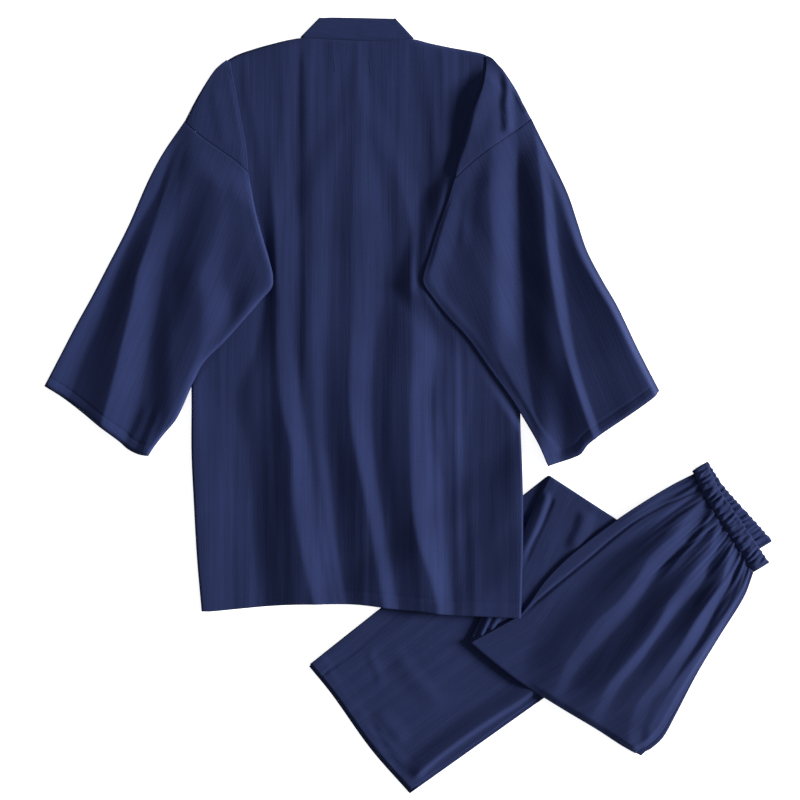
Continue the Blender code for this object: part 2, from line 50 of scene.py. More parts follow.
# Walls of the cloth, and the height from one layer to the next
GAUZE = 0.9
BAND_WALL = 1.5
LEG_WALL = 1.1
GROUND = 0.6
PITCH = 1.8
BACK_LOFT = 0.2
LAP = 1.05
SLEEVE_LOFT = 0.1
LEG_PITCH = 1.5
LEG_LOFT = 0.35
SECTION_RISE = 2 * LEG_PITCH

# Lengths of the cloth, and of the steps along the collar and the waistband
JACKET_LENGTH = 730.0
JACKET_WIDTH = 430.0
FLAP_LENGTH = 155.0
SLEEVE_LENGTH = 380.0
ARMHOLE_LENGTH = 390.0
LEG_WIDTH = 215.0
LEG_LENGTH = 1010.0
SECTION_LENGTH = 330.0
BAND_WIDTH = 28.0
COLLAR_STEP = 10.0
GATHER_STEP = 1.5

# How cloth slopes down beside what lies under it: flat margin, then length of the slope
LEG_FALL = (12.0, 72.0)
JACKET_FALL = (22.0, 48.0)
SLEEVE_FALL = (20.0, 34.0)
OVERLAP_FALL = 34.0

# Distance outside a sleeve over which the creases of the back come in
SLEEVE_CLEAR = {"left": (-16.0, -6.0), "right": (-4.0, 6.0)}

# Rise or dip of each sleeve's lapping edge, how far in the cloth is level again, and the share of
# the rise that is lost towards the cuff
EDGE_LOFT = {"left": -0.8, "right": 0.2}
LOFT_REACH = {"left": 9.0, "right": 34.0}
CUFF_FALL = 0.6

# How much the back rises towards the right sleeve, over what distance outside it, where that
# distance grows and by how much, and where the swell ends at the top, at the foot and to the right
SWELL = 7.5
SWELL_REACH = (-4.0, 6.0)
SWELL_GROWTH = ((29.0, 330.0, 250.0), (14.0, 335.0, 415.0))
SWELL_TOP = (455.0, 395.0)
SWELL_FOOT = (45.0, 130.0)
SWELL_END = (104.0, 142.0)

# Shares of a sleeve's width over which its folds die away at the outer and at the inner edge
EDGE_FADE = {"left": (0.004, 0.012), "right": (0.064, 0.05)}
SEAM_FADE = 0.13

# Stitched grooves: depth and half width. Then how far a hem's stitching lies from the edge.
HEM_GROOVE = (0.7, 2.0)
FLAP_GROOVE = (0.2, 1.3)
ARMHOLE_GROOVE = (0.45, 1.3)
CUFF_GROOVE = (0.45, 1.4)
BACK_HEM = 14.0
CUFF_HEM = 13.0
LEG_HEM_STEP = 0.7
LEG_HEM_WIDTH = (21.0, 17.0)

# The edges of the back: height above the ground at which they are sewn, and how much more beside
# the neck, between which shares of the width, and over what length below the shoulders
SEWN = 1.1
NECK_RISE = 0.85
NECK_LEFT = (0.27, 0.31)
NECK_RIGHT = (0.735, 0.695)
SHOULDER_FALL = 7.0

# Grids of the pieces
BACK_GRID = {"across": 150, "pleat": 60, "middle": 116, "hem": 16}
PLEAT_GRID = {"under": 8, "over": 26}
SLEEVE_GRID = {"over": 96, "under": 30, "down": 116}
FRONT_GRID = {"across": 44, "down": 90}
COLLAR_GRID = {"across": 8, "front": 60, "neck": 40}
TURN = 6
LEG_TURN = 8
HEM_SHARE = 0.965
ARMPIT = 0.375

# How far cloth bulges out where it turns over, and the same for a pleat and for a sleeve's edges
WIDEST_TURN = 1.6
PLEAT_TURN = 0.1
SLEEVE_TURN = {"outer": 0.15, "inner": 0.6}

# How far the pleat's hidden fold drops at its apex, and over which share of its length
PLEAT_DROP = 0.9
PLEAT_APEX = (0.08, 0.0)

# Lean of the grain, sideways for each step down
PLEAT_GRAIN = 0.17
SLEEVE_GRAIN = 0.42

# Unevenness of the cloth: size across and along the grain, height, and layer of the noise
CRINKLES = {
    "back": ((8.0, 160.0, 0.35, 1), (24.0, 240.0, 1.0, 2)),
    "sleeve": ((30.0, 150.0, 1.2, 4),),
    "first": ((14.0, 110.0, 0.5, 5),),
    "second": ((14.0, 110.0, 0.5, 6),),
    "third": ((14.0, 110.0, 0.5, 7),),
    "gathers": ((6.0, 70.0, 2.6, 9),),
    "sway": ((0.13, 1.8, 1.0, 11), (0.4, 3.0, 0.8, 12)),
    "depth": ((0.06, 0.7, 1.2, 13),),
    "wave": ((0.025, 0.5, 1.3, 14),),
}
LAYER_STEP = 7.3

# Jacket outlines
SHOULDERS = [
    (-231.5, 440), (-218.2, 447.5), (-202.9, 453.1), (-176, 461), (-138, 469), (-94, 467.6),
        (-52, 466), (5, 468), (28.8, 462.6), (54.4, 457.2), (80, 452.7), (96.6, 449), (104.5, 445),
]
HEM = [(-263, -263.7), (-250.2, -263.7), (-195.2, -258.6), (-146.6, -254.7), (-105.6, -254.2),
    (-64.6, -254.7), (-37.8, -257.3), (-9.6, -261.1), (9.6, -262.4), (55.7, -267.5),
    (87.7, -268.8), (144, -271.4)]
BAND_TOP = [(-111, 495), (-95, 495.5), (-17, 494)]
BAND_FOOT = [(-136, 469.4), (-94, 467.3), (-52, 465.7), (7, 468.0)]
FRONT_EDGES = {"left": (4 / 7, 0.29), "right": (3 / 7, 0.715)}
NECK_DEPTH = 0.36
NECKLINE_Y = (195.0, 470.0)
COLLAR_SHARE = 1 / 14
SEAM_GAP = 0.4
EDGE_LINES = {"left": (-4.0, -111.0), "right": (-125.0, -17.0)}
OVERLAP_MARGIN = 6.0
BACK_SPREAD = 12.0

# Side edges: share of the way down, x, y
BACK_SIDES = {
    "left": [
        (0.0, -231.5, 440), (ARMPIT, -284, 168), (0.49, -278, 96), (0.62, -276, 15),
            (0.72, -276, -60),
        (0.82, -273, -125), (0.91, -269, -195), (1.0, -263, -264),
    ],
    "right": [
        (0.0, 104.5, 445), (ARMPIT, 152, 168), (0.49, 147, 83), (0.62, 144, -12),
            (0.72, 146.5, -91),
        (0.82, 147, -140), (0.91, 146.5, -189), (1.0, 144, -271),
    ],
}
FRONT_SIDES = {
    "left": [(0.0, -231.5, 440), (0.05, -250, 422), (0.12, -278, 372), (0.2, -283, 310)]
    + BACK_SIDES["left"][1:],
    "right": [(0.0, 104.5, 445), (0.05, 124, 426), (0.12, 150, 377), (0.2, 153, 310)]
    + BACK_SIDES["right"][1:],
}

SLEEVES = {
    "left": {
        "outward": -1,
        "shoulder": [(-231.7, 440.6), (-239.4, 434.7), (-247, 427.3), (-258.6, 410.2),
            (-272.6, 386.6), (-285, 363)],
        "pleat": [(-227.2, 439), (-225.3, 426.2), (-220.8, 405.8), (-213.1, 364.8), (-206.7, 329),
            (-204, 298)],
        "seam": [(-285, 362), (-260.5, 341.2), (-234.9, 323.3), (-215.7, 309.2), (-204, 297)],
        "outer": [(-286, 362), (-313, 322.6), (-332.2, 286.7), (-357.8, 227.8), (-384.6, 175.4),
            (-403.8, 138.2), (-424.3, 101.1), (-444.8, 61.4), (-464, 24.3)],
        "inner": [
            (-204, 297), (-195.2, 250.9), (-188.8, 226.6), (-183.7, 208.6), (-174.7, 179.2),
                (-171.4, 165.1), (-172.2, 151), (-185, 137), (-208, 110.1), (-234.9, 80.6),
            (-260.5, 55), (-274.6, 28.2), (-289.9, -6.4), (-297.6, -20.5), (-313, -38.4),
                (-325.8, -55), (-332.2, -65.3),
        ],
        "cuff": [(-464, 24.3), (-442.2, 10.2), (-416.6, -9), (-391, -29.4), (-369.3, -46.1),
            (-357.8, -56.3), (-345, -62.7), (-332.2, -65.3)],
        "cover": [(-226, 436), (-167, 157), (-332, -65), (-464, 24), (-286, 364)],
    },
    "right": {
        "outward": 1,
        "shoulder": [(103, 446), (108.2, 443.1), (117.4, 432.9), (129.2, 414), (143.2, 392.8),
            (158, 367)],
        "pleat": [(100.5, 444.2), (100.9, 433.9), (99.2, 421.1), (96, 405.8), (89.6, 389.1),
            (79.6, 364.8), (71, 335.4), (61, 291)],
        "seam": [(158, 366), (142.7, 353.8), (121, 338.7), (87.7, 314.4), (61, 290)],
        "outer": [(159, 366), (169.6, 344.3), (182.4, 318.7), (205.4, 270.1), (218.2, 231.7),
            (229.8, 197.1), (249, 160), (268.2, 126.7), (295, 70.4), (321.9, 17.9)],
        "inner": [
            (61, 290), (50.6, 256), (39, 224), (28.8, 190.7), (21.1, 166.4), (20.4, 156.2),
                (26.2, 145.9), (49.3, 116.5), (78.7, 84.5),
            (106.9, 44.8), (133.8, 7.7), (146.6, -12.8), (167, -48.6), (180, -78),
        ],
        "cuff": [(321.9, 17.9), (309.1, 6.4), (277.1, -16.6), (243.8, -39.7), (229.8, -51.2),
            (219.5, -64), (180, -78)],
        "cover": [(98, 421), (16, 156), (180, -78), (322, 18), (158, 366)],
    },
}

# Trousers: the hem, the two folds and the waist seam, from the side seam to the centre seam
LEG_HEM = [(-127, -333), (-97, -370), (-47, -440), (3, -497)]
FIRST_FOLD = [(182, -86), (269, -143), (387, -221)]
SECOND_FOLD = [(76, -305), (97.9, -323.8), (137.6, -354.6), (169.6, -375), (202.9, -395.5),
    (241.3, -418.6), (270.7, -437.8), (296, -452)]
WAIST_SEAM = [(366.7, -87.7), (379.5, -116.5), (396.8, -144), (416.6, -174.1), (441.6, -213.8)]
SIDE_EDGE = [(121, -277.8), (144, -263.7), (173.4, -224), (200.3, -196.5), (227.2, -174.7),
    (268.2, -144.6), (304, -121.6), (338.6, -101.8), (366.7, -87.7)]
CENTRE_EDGE = [(304, -442.9), (311.7, -439), (327, -425), (342.4, -398.1), (371.8, -343),
    (407.7, -284.2), (430.7, -244.5), (441.6, -213.8)]
PILE = [
    [LEG_HEM[0], LEG_HEM[-1], FIRST_FOLD[-1], FIRST_FOLD[0]],
    [FIRST_FOLD[0], (76, -305), (296, -452), FIRST_FOLD[-1]],
    [(76, -305), (296, -452), (441, -221), (362, -93), (227, -165)],
]
FOLD_SIDE = (0.558, 0.830)
FOLD_BULGE = 5.7
LEG_SECTIONS = ("first", "second", "third")
LEGS = {
    "leg_right": {
        "across": 110,
        "rows": {"first": 30, "second": 96, "third": 40},
        "levels": (0, 1, 0),
        "hem": 0.0,
        "spans": ((0.008, 1.0), (0.0, 1.0), (0.012, 0.988)),
    },
    "leg_left": {
        "across": 128,
        "rows": {"first": 104, "second": 26, "third": 112},
        "levels": (1, 0, 1),
        "hem": 0.007,
        "spans": ((0.0, 0.982), (0.01, 0.97), (0.0, 1.0)),
    },
}

# Waistband layers from the top down: start and end along the waist seam, reach past it at both
# ends, middle height, height and number of gathers, columns
BAND_FIELDS = ("start", "end", "reach", "height", "gather", "gathers", "columns")
BAND_LAYERS = [
    dict(zip(BAND_FIELDS, row))
    for row in (
        (146.0, -3.0, (23.5, 20.0), 6.0, 1.1, 19, 220),
        (-4.0, 124.0, (22.0, 42.0), 3.7, 1.1, 15, 160),
        (124.0, -3.0, (40.0, 20.0), 1.9, 0.0, 0, 24),
        (-3.0, 144.0, (18.0, 22.5), 0.6, 0.0, 0, 24),
    )
]
BAND_SEAM = -0.5
BAND_ROWS = 12
GATHER_END = 0.05
GATHER_START = 0.35
GATHER_DEPTH = 0.75
BAND_CALM = 0.55
BAND_SCALLOP = 0.6
BAND_DIP = 1.8
BAND_PUFF = 1.3

# Rows of small stitches below the neck: top, bottom, number of stitches
TACKS = [((-94.7, 445.4), (-92.2, 425), 6), ((-49.3, 441.6), (-46.7, 422.4), 6)]
TACK_TOP = 466.0
TACK_WIDTH = 1.1
TACK_HEIGHT = 0.9
TACK_SHARE = 0.6

# Creases: how crisp each is, then its points from the top down as x, y and height. Crests and
# valleys take turns from left to right, and the cloth runs smoothly from one to the next.
# They stand CREASE_RISE times, and small folds FOLD_RISE times, as high as their tables say.
CREASE_RISE = 0.85
FOLD_RISE = 1.3
BACK_CREASES = [
    (0.3, [(-252.8, 460.8, 0), (-259.2, 262.4, 0), (-265.6, 32, 2), (-264.3, -44.8, 3),
        (-261.8, -147.2, 3.4), (-255.4, -257.3, 3)]),
    (0.2, [(-219.5, 460.8, 0), (-209.3, 364.8, 0.3), (-199, 288, 0.5), (-191.4, 243.2, 0.5),
        (-178.6, 198.4, 0.8), (-178.6, 160, 1.2), (-196.5, 70.4, 1.6), (-222.1, 6.4, 0.6),
        (-209.3, -44.8, 0), (-201.6, -108.8, 0), (-199, -172.8, 0.4), (-186.2, -257.3, 1)]),
    (1.0, [(-206.7, 460.8, 0.2), (-202.9, 390.4, 1.3), (-196.5, 364.8, 1.6), (-191.4, 339.2, 1.8),
        (-186.2, 313.6, 2), (-181.1, 288, 2.3), (-178.6, 243.2, 2.8), (-173.4, 198.4, 3.5),
        (-172.2, 160, 3.6), (-181.1, 70.4, 4.9), (-191.4, 6.4, 4.5), (-178.6, -44.8, 4.6),
        (-173.4, -108.8, 5), (-168.3, -172.8, 6.2), (-153, -257.3, 6.5)]),
    (0.7, [(-150.4, 460.8, 0.5), (-159.4, 364.8, 1.2), (-172.2, 288, 3), (-168.3, 224, 5.2),
        (-168.3, 179.2, 6), (-165.8, 134.4, 6.5), (-165.8, 76.8, 8.2), (-161.9, 6.4, 8.5),
        (-147.8, -57.6, 9.2), (-146.6, -108.8, 10), (-137.6, -172.8, 12), (-118.4, -257.3, 12)]),
    (0.4, [(-137.6, 460.8, 0.2), (-142.7, 364.8, 0.3), (-145.3, 288, 0), (-140.2, 230.4, 0.2),
        (-144, 134.4, 2.4), (-144, 76.8, 3), (-136.3, 6.4, 2.2), (-126.1, -57.6, 3.4),
        (-119.7, -108.8, 3), (-110.7, -172.8, 5), (-95.4, -257.3, 4.5)]),
    (0.3, [(-123.5, 460.8, 0.9), (-123.5, 364.8, 3), (-121, 288, 3), (-121, 224, 2.6),
        (-122.2, 134.4, 6), (-123.5, 76.8, 6.6), (-121, 6.4, 4), (-117.1, -57.6, 3.8),
        (-110.7, -108.8, 2.6), (-101.8, -172.8, 3), (-87.7, -257.3, 2.4)]),
    (0.3, [(-91.5, 460.8, 0.1), (-83.8, 364.8, 1), (-91.5, 288, 0.5), (-96.6, 224, 0),
        (-97.9, 134.4, 2.4), (-103, 76.8, 4), (-105.6, 6.4, 2.5), (-105.6, -44.8, 2.6),
        (-96.6, -102.4, 0.8), (-90.2, -172.8, 0), (-77.4, -257.3, 0)]),
    (0.7, [(-78.7, 460.8, 0.3), (-67.2, 364.8, 1.5), (-68.5, 288, 3), (-71, 224, 3.6),
        (-71, 134.4, 5.5), (-72.3, 76.8, 8), (-73.6, 6.4, 9), (-68.5, -44.8, 10.4),
        (-57, -102.4, 9.5), (-44.2, -172.8, 8.5), (-30.1, -257.3, 9)]),
    (0.3, [(-30.1, 460.8, 0), (-46.7, 364.8, 0.4), (-35.2, 288, 0), (-23.7, 217.6, 0),
        (-32.6, 134.4, 0.4), (-41.6, 76.8, 1.6), (-46.7, 6.4, 2.2), (-44.2, -44.8, 3),
        (-37.8, -102.4, 3), (-26.2, -172.8, 3.4), (-12.2, -257.3, 4)]),
    (0.7, [(-17.3, 460.8, 0.4), (-25, 364.8, 1), (-9.6, 288, 1.2), (4.5, 224, 3.2),
        (4.5, 172.8, 4.6), (4.5, 134.4, 6.2), (5.8, 83.2, 10.5), (3.2, 6.4, 11.6),
        (3.2, -44.8, 14), (5.8, -121.6, 14.5), (13.4, -172.8, 13.5), (30.1, -224, 13.4),
        (37.8, -257.3, 13)]),
    (0.3, [(1.9, 460.8, 0), (13.4, 364.8, 0), (21.1, 288, 0), (16, 211.2, 0.3),
        (14.7, 153.6, 0.3), (21.1, 134.4, 1.6), (37.8, 83.2, 1), (30.1, 6.4, 3),
        (33.9, -44.8, 4.6), (49.3, -108.8, 0.5), (51.8, -172.8, 0), (59.5, -257.3, 3)]),
    (0.3, [(22.4, 460.8, 0.8), (33.9, 364.8, 2), (41.6, 288, 2), (48, 134.4, 1),
        (54.4, 76.8, 0.6), (46.7, 6.4, 4), (54.4, -44.8, 3.6), (62.1, -108.8, 0.4),
        (67.2, -172.8, 0.5), (72.3, -257.3, 3.1)]),
    (0.2, [(54.4, 460.8, 0.2), (57, 364.8, 1), (67.2, 134.4, 0.5), (80, 76.8, 0.2),
        (83.8, 6.4, 0), (77.4, -44.8, 0), (80, -108.8, 1), (87.7, -172.8, 2), (92.8, -257.3, 4)]),
    (0.5, [(118.4, 460.8, 0), (124.8, 134.4, 0), (133.8, 6.4, 3.6), (133.8, -44.8, 4),
        (136.3, -121.6, 4.4), (135, -198.4, 5.6), (132.5, -257.3, 5.5)]),
]
SLEEVE_CREASES = {
    "left": [
        (0.2, [(-283.5, 352, 0.5), (-313, 320, 1), (-332.2, 282.9, 1.5), (-357.8, 224, 2),
            (-384.6, 171.5, 3), (-403.8, 134.4, 3.6), (-424.3, 97.3, 3.8), (-444.8, 57.6, 4),
            (-464, 19.2, 4)]),
        (0.3, [(-278.4, 352, 0), (-301.4, 320, 0), (-321.9, 268.8, 0), (-345, 230.4, 0),
            (-360.3, 198.4, 0), (-384.6, 134.4, 0), (-396.2, 102.4, 0), (-410.2, 70.4, 0),
            (-423, 38.4, 0), (-432, 6.4, 0)]),
        (0.9, [(-275.8, 352, 0.1), (-296.3, 313.6, 0.5), (-311.7, 268.8, 2), (-323.2, 230.4, 4.5),
            (-333.4, 198.4, 7), (-343.7, 166.4, 9), (-350.1, 134.4, 10.5), (-357.8, 102.4, 11.4),
            (-365.4, 70.4, 12.6), (-373.1, 38.4, 13.6), (-380.8, 10.2, 12.5), (-392.3, -29.4, 10)]),
        (0.3, [(-273.3, 352, 0), (-288.6, 313.6, 0), (-293.8, 262.4, 0), (-297.6, 230.4, 0),
            (-305.3, 198.4, 0), (-311.7, 166.4, 0), (-316.8, 134.4, 0.4), (-323.2, 102.4, 1.2),
            (-330.9, 70.4, 1.8), (-336, 38.4, 2), (-342.4, 6.4, 2), (-359, -38.4, 2)]),
        (0.3, [(-265.6, 352, 1), (-256.6, 313.6, 4), (-237.4, 262.4, 7), (-250.2, 198.4, 8.5),
            (-264.3, 166.4, 10), (-261.8, 134.4, 11), (-261.8, 102.4, 10.5), (-265.6, 70.4, 9),
            (-278.4, 38.4, 8), (-291.2, 12.8, 7), (-304, -12.8, 8.5), (-321.9, -44.8, 7.5)]),
        (0.2, [(-257.9, 352, 1), (-246.4, 313.6, 4), (-229.8, 262.4, 7), (-232.3, 198.4, 7.5),
            (-234.9, 166.4, 5.5), (-227.2, 134.4, 3), (-229.8, 98.6, 5), (-250.2, 70.4, 7),
            (-270.7, 42.2, 7), (-283.5, 12.8, 6.6), (-297.6, -12.8, 8), (-316.8, -44.8, 7)]),
        (0.3, [(-250.2, 352, 1), (-227.2, 313.6, 5), (-211.8, 262.4, 8), (-201.6, 198.4, 9.5),
            (-188.8, 160, 9), (-199, 134.4, 7), (-218.2, 102.4, 5), (-241.3, 73, 6.4),
            (-264.3, 44.8, 6.5), (-277.1, 12.8, 6), (-292.5, -12.8, 7.5), (-311.7, -44.8, 6.5)]),
    ],
    "right": [
        (0.2, [(80, 326.4, 0.5), (57, 262.4, 1.2), (36.5, 198.4, 2), (26.2, 160, 2),
            (60.8, 102.4, 1), (90.2, 64, 0.8), (118.4, 26.9, 0.5), (146.6, -12.8, 0.3),
            (169.6, -52.5, 0)]),
        (0.2, [(87.7, 326.4, 0), (74.9, 262.4, 0), (59.5, 198.4, 0), (49.3, 147.2, 0),
            (80, 102.4, 0.5), (100.5, 67.8, 1.5), (128.6, 26.9, 0.8), (154.2, -12.8, 0.3),
            (177.3, -52.5, 0)]),
        (0.3, [(103, 326.4, 4), (104.3, 262.4, 5), (110.7, 198.4, 5.5), (115.8, 134.4, 6),
            (117.1, 96, 5), (118.4, 64, 3.5), (136.3, 26.9, 2.5), (159.4, -12.8, 1),
            (185, -52.5, 0.5)]),
        (0.8, [(140.2, 339.2, 0), (141.4, 262.4, 0), (144, 198.4, 0), (147.8, 134.4, 0),
            (150.4, 70.4, 0), (155.5, 26.9, 0), (165.8, -19.2, 0), (195.2, -55, 0)]),
        (0.8, [(163.2, 339.2, 6), (169.6, 293.1, 11), (173.4, 262.4, 13), (178.6, 198.4, 15),
            (187.5, 134.4, 17), (200.3, 70.4, 18), (209.3, 38.4, 19.5), (219.5, 6.4, 19),
            (228.5, -19.2, 17), (238.7, -44.8, 12)]),
        (0.4, [(176, 339.2, 3), (182.4, 293.1, 6), (186.2, 262.4, 6), (192.6, 198.4, 6),
            (202.2, 134.4, 8), (212.5, 70.4, 10.5), (220.2, 38.4, 12), (231, 6.4, 11),
            (240, -19.2, 10), (249, -44.8, 7)]),
        (0.9, [(185, 339.2, 3), (195.2, 293.1, 7), (208, 247, 10), (229.8, 197.1, 16),
            (251.5, 143.4, 19), (274.6, 84.5, 21), (305.3, 10.2, 20)]),
    ],
}

# Small folds: height at the crest, reach to the left and to the right of it, how crisp the crest
# is, fade at the upper and the lower end as shares of its length, crest points from the top down
BACK_FOLDS = [
    (0.5, 6, 12, 0.3, 0.05, 0.2, [(-132.5, 459.5), (-132.5, 288), (-131.2, 134.4), (-131.2, -32)]),
    (0.6, 5, 5, 0.3, 0.3, 0.3, [(36.5, 83.2), (36.5, -44.8), (37.8, -121.6), (42.9, -236.8)]),
    (0.8, 7, 8, 0.3, 0.3, 0.3, [(60.8, 134.4), (62.1, -19.2), (64.6, -198.4), (65.9, -262.4)]),
]
SLEEVE_FOLDS = {
    "left": [
        (0.7, 10, 10, 0.3, 0.3, 0.2, [(-329.6, 6.4), (-345, -32), (-360.3, -60.2)]),
        (0.6, 9, 8, 0.3, 0.3, 0.2, [(-314.2, 1.3), (-327, -32), (-339.8, -65.3)]),
    ],
    "right": [
        (0.5, 10, 12, 0.2, 0.3, 0.3, [(80, 288), (72.3, 236.8), (69.8, 185.6)]),
    ],
}
FLAP_FOLDS = {
    "left": [(0.5, 12, 16, 0.1, 0.3, 0.2, [(-247.7, 416), (-242.6, 377.6), (-232.3, 326.4)])],
    "right": [
        (3.8, 10, 11, 0.5, 0.3, 0.1, [(122.2, 431.4), (127.4, 403.2), (126.1, 384),
            (127.4, 364.8), (127.4, 344.3)]),
        (2.4, 9, 5, 0.3, 0.3, 0.1, [(132.5, 413.4), (145.3, 394.2), (156.8, 373.8)]),
        (2.0, 12, 24, 0.1, 0.4, 0.35, [(99.2, 433.9), (95.4, 403.2), (87.7, 384), (78.7, 363.5),
            (69.8, 332.8)]),
    ],
}
LEG_FOLDS = {
    "first": [
        (-1.1, 3.2, 3.2, 0.5, 0.02, 0.02, [(-96.6, -336.6), (-67.2, -376.3), (-50.6, -398.1),
            (-27.5, -440.3), (-5.8, -473.6)]),
        (-1.2, 3.2, 3.2, 0.5, 0.02, 0.02, [(-14.7, -267.5), (-44.2, -294.4), (-73.6, -320),
            (-89, -330.2), (-109.4, -345.6)]),
        (0.6, 8, 11, 0.4, 0.3, 0.4, [(-46.7, -304.6), (-46.7, -323.8), (-37.8, -343),
            (-33.9, -368.6)]),
        (1.0, 22, 16, 0.2, 0.3, 0.3, [(-22.4, -302.1), (-1.9, -334.1), (23.7, -364.8),
            (53.1, -389.1)]),
        (1.0, 14, 18, 0.2, 0.3, 0.3, [(-45.4, -389.1), (-18.6, -414.7), (-1.9, -440.3)]),
        (4.0, 26, 8, 0.3, 0.0, 0.1, [(159.4, -366.1), (91.5, -409.6), (49.3, -439.7),
            (23.7, -460.8), (4.5, -478.7)]),
        (-2.6, 3.2, 3.2, 0.5, 0.0, 0.2, [(164.5, -371.8), (118.4, -402.6), (80, -431.4),
            (51.8, -454.4), (33.9, -471)]),
    ],
    "second": [
        (-1.2, 5, 5, 0.5, 0.05, 0.3, [(186.2, -118.4), (173.4, -149.8), (159.4, -177.9),
            (147.3, -208.6)]),
        (2.2, 16, 7, 0.6, 0.1, 0.3, [(179.8, -108.8), (170.9, -137), (158.1, -167.7),
            (142.7, -198.4)]),
        (2.6, 9, 3.5, 0.3, 0.3, 0.1, [(100.5, -254.7), (90.2, -277.8), (80, -299.5)]),
        (2.8, 9, 3.5, 0.3, 0.3, 0.1, [(113.3, -254.7), (103, -275.2), (92.8, -297)]),
        (2.8, 9, 3.5, 0.3, 0.3, 0.1, [(124.8, -254.7), (115.8, -271.4), (105.6, -289.3)]),
        (1.6, 12, 18, 0.1, 0.2, 0.3, [(227.2, -131.8), (219.5, -160), (204.2, -188.2)]),
    ],
    "third": [
        (-1.7, 3.6, 3.6, 0.5, 0.0, 0.05, [(373.1, -108.8), (328.3, -127.4), (292.5, -147.2),
            (261.8, -170.2), (233.6, -193.9), (195.2, -225.3), (164.5, -250.9), (137.6, -275.2)]),
        (-1.4, 3.4, 3.4, 0.5, 0.05, 0.4, [(397.4, -151), (361.6, -176.6), (328.3, -202.2),
            (298.9, -227.8)]),
        (1.4, 6, 8, 0.5, 0.0, 0.5, [(389.8, -134.4), (369.3, -169), (343.7, -198.4),
            (310.4, -236.8)]),
        (1.0, 5, 5, 0.5, 0.0, 0.5, [(380.8, -121.6), (348.8, -142.1), (316.8, -167.7)]),
    ],
}
TROUSER_CREASES = [
    (0.2, [(361.6, -93.4, 0), (297.6, -128, 0), (246.4, -160, 0), (195.2, -201, 0),
        (144, -256, 0), (118.4, -300.8, 0), (105.6, -377.6, 0)]),
    (0.2, [(370.6, -108.8, 0), (330.9, -137, 0), (304, -160, 0), (274.6, -179.2, 0),
        (247.7, -198.4, 0), (222.1, -224, 0), (192.6, -249.6, 0), (176, -275.2, 0),
        (155.5, -300.8, 0), (147.8, -326.4, 0), (137.6, -377.6, 0)]),
    (0.6, [(377, -117.8, 1), (357.8, -140.8, 3.5), (342.4, -160, 6), (321.9, -179.2, 7.5),
        (304, -198.4, 8), (288.6, -224, 8.4), (268.2, -249.6, 8), (240, -275.2, 7.4),
        (220.8, -300.8, 7), (202.9, -326.4, 6), (190.1, -358.4, 3.5), (176, -390.4, 1)]),
    (0.4, [(384.6, -128, 0), (373.1, -144.6, 0), (361.6, -162.6, 0), (350.1, -179.2, 0.4),
        (330.9, -198.4, 1.5), (311.7, -224, 2.4), (295, -249.6, 2), (274.6, -275.2, 3),
        (249, -300.8, 4.4), (223.4, -326.4, 4.2), (204.2, -358.4, 3), (188.8, -393, 1)]),
    (0.6, [(396.2, -147.2, 1.5), (389.8, -166.4, 3), (384.6, -181.8, 4), (371.8, -198.4, 6),
        (352.6, -224, 9), (332.2, -249.6, 9), (318.1, -275.2, 10.5), (300.2, -300.8, 12),
        (278.4, -326.4, 12), (256.6, -352, 10), (243.8, -377.6, 6), (227.2, -409.6, 2)]),
    (0.4, [(403.8, -158.7, 0), (398.7, -175.4, 0.3), (393.6, -188.2, 0.6), (385.9, -201, 1),
        (375.7, -224, 3.4), (356.5, -249.6, 3), (334.7, -275.2, 6), (314.2, -300.8, 7.6),
        (296.3, -326.4, 7.8), (274.6, -352, 6.8), (260.5, -377.6, 4.4), (243.8, -413.4, 1.4)]),
    (0.7, [(414.1, -175.4, 1.5), (410.2, -189.4, 3), (405.1, -204.8, 5), (398.7, -224, 7.5),
        (382.1, -249.6, 9), (364.2, -275.2, 12), (348.8, -300.8, 13), (330.9, -326.4, 12.4),
        (313, -352, 10.4), (293.8, -377.6, 7), (282.2, -409.6, 4)]),
    (0.4, [(421.8, -186.9, 0), (419.2, -201, 0.3), (415.4, -213.8, 0.6), (411.5, -226.6, 1.2),
        (397.4, -249.6, 1.6), (384.6, -275.2, 3.6), (369.3, -300.8, 6.6), (351.4, -326.4, 7.6),
        (334.7, -352, 7.2), (313, -377.6, 5), (297.6, -413.4, 3)]),
    (0.6, [(430.7, -199.7, 1.2), (428.2, -211.2, 2.2), (424.3, -226.6, 3.6), (414.1, -249.6, 4.6),
        (397.4, -275.2, 6.2), (379.5, -300.8, 8.6), (360.3, -326.4, 9), (341.1, -352, 7.8),
        (325.8, -377.6, 5.6), (307.8, -409.6, 3.8)]),
    (0.2, [(441, -215, 0), (435.8, -236.8, 0), (423, -256, 0), (405.1, -285.4, 1),
        (388.5, -313.6, 3), (371.8, -339.2, 4), (353.9, -371.2, 3), (333.4, -403.2, 2),
        (316.8, -431.4, 1)]),
]

# How the folds of the trousers' three sections fade: shares of the width and of the length, and
# the dip beside the edges, with its own share of the width. An upper fold stays clear of the
# layer below it.
SIDE_FADE = (0.04, 0.015, 0.04)
END_FADE = (0.06, 0.06, 0.02)
LEG_EDGE = (0.3, 0.5, 0.4)
LEG_EDGE_WIDTH = 9.0 / 205.0
LAYER_CLEAR = 0.3
WAIST_FOLDS = 1.5

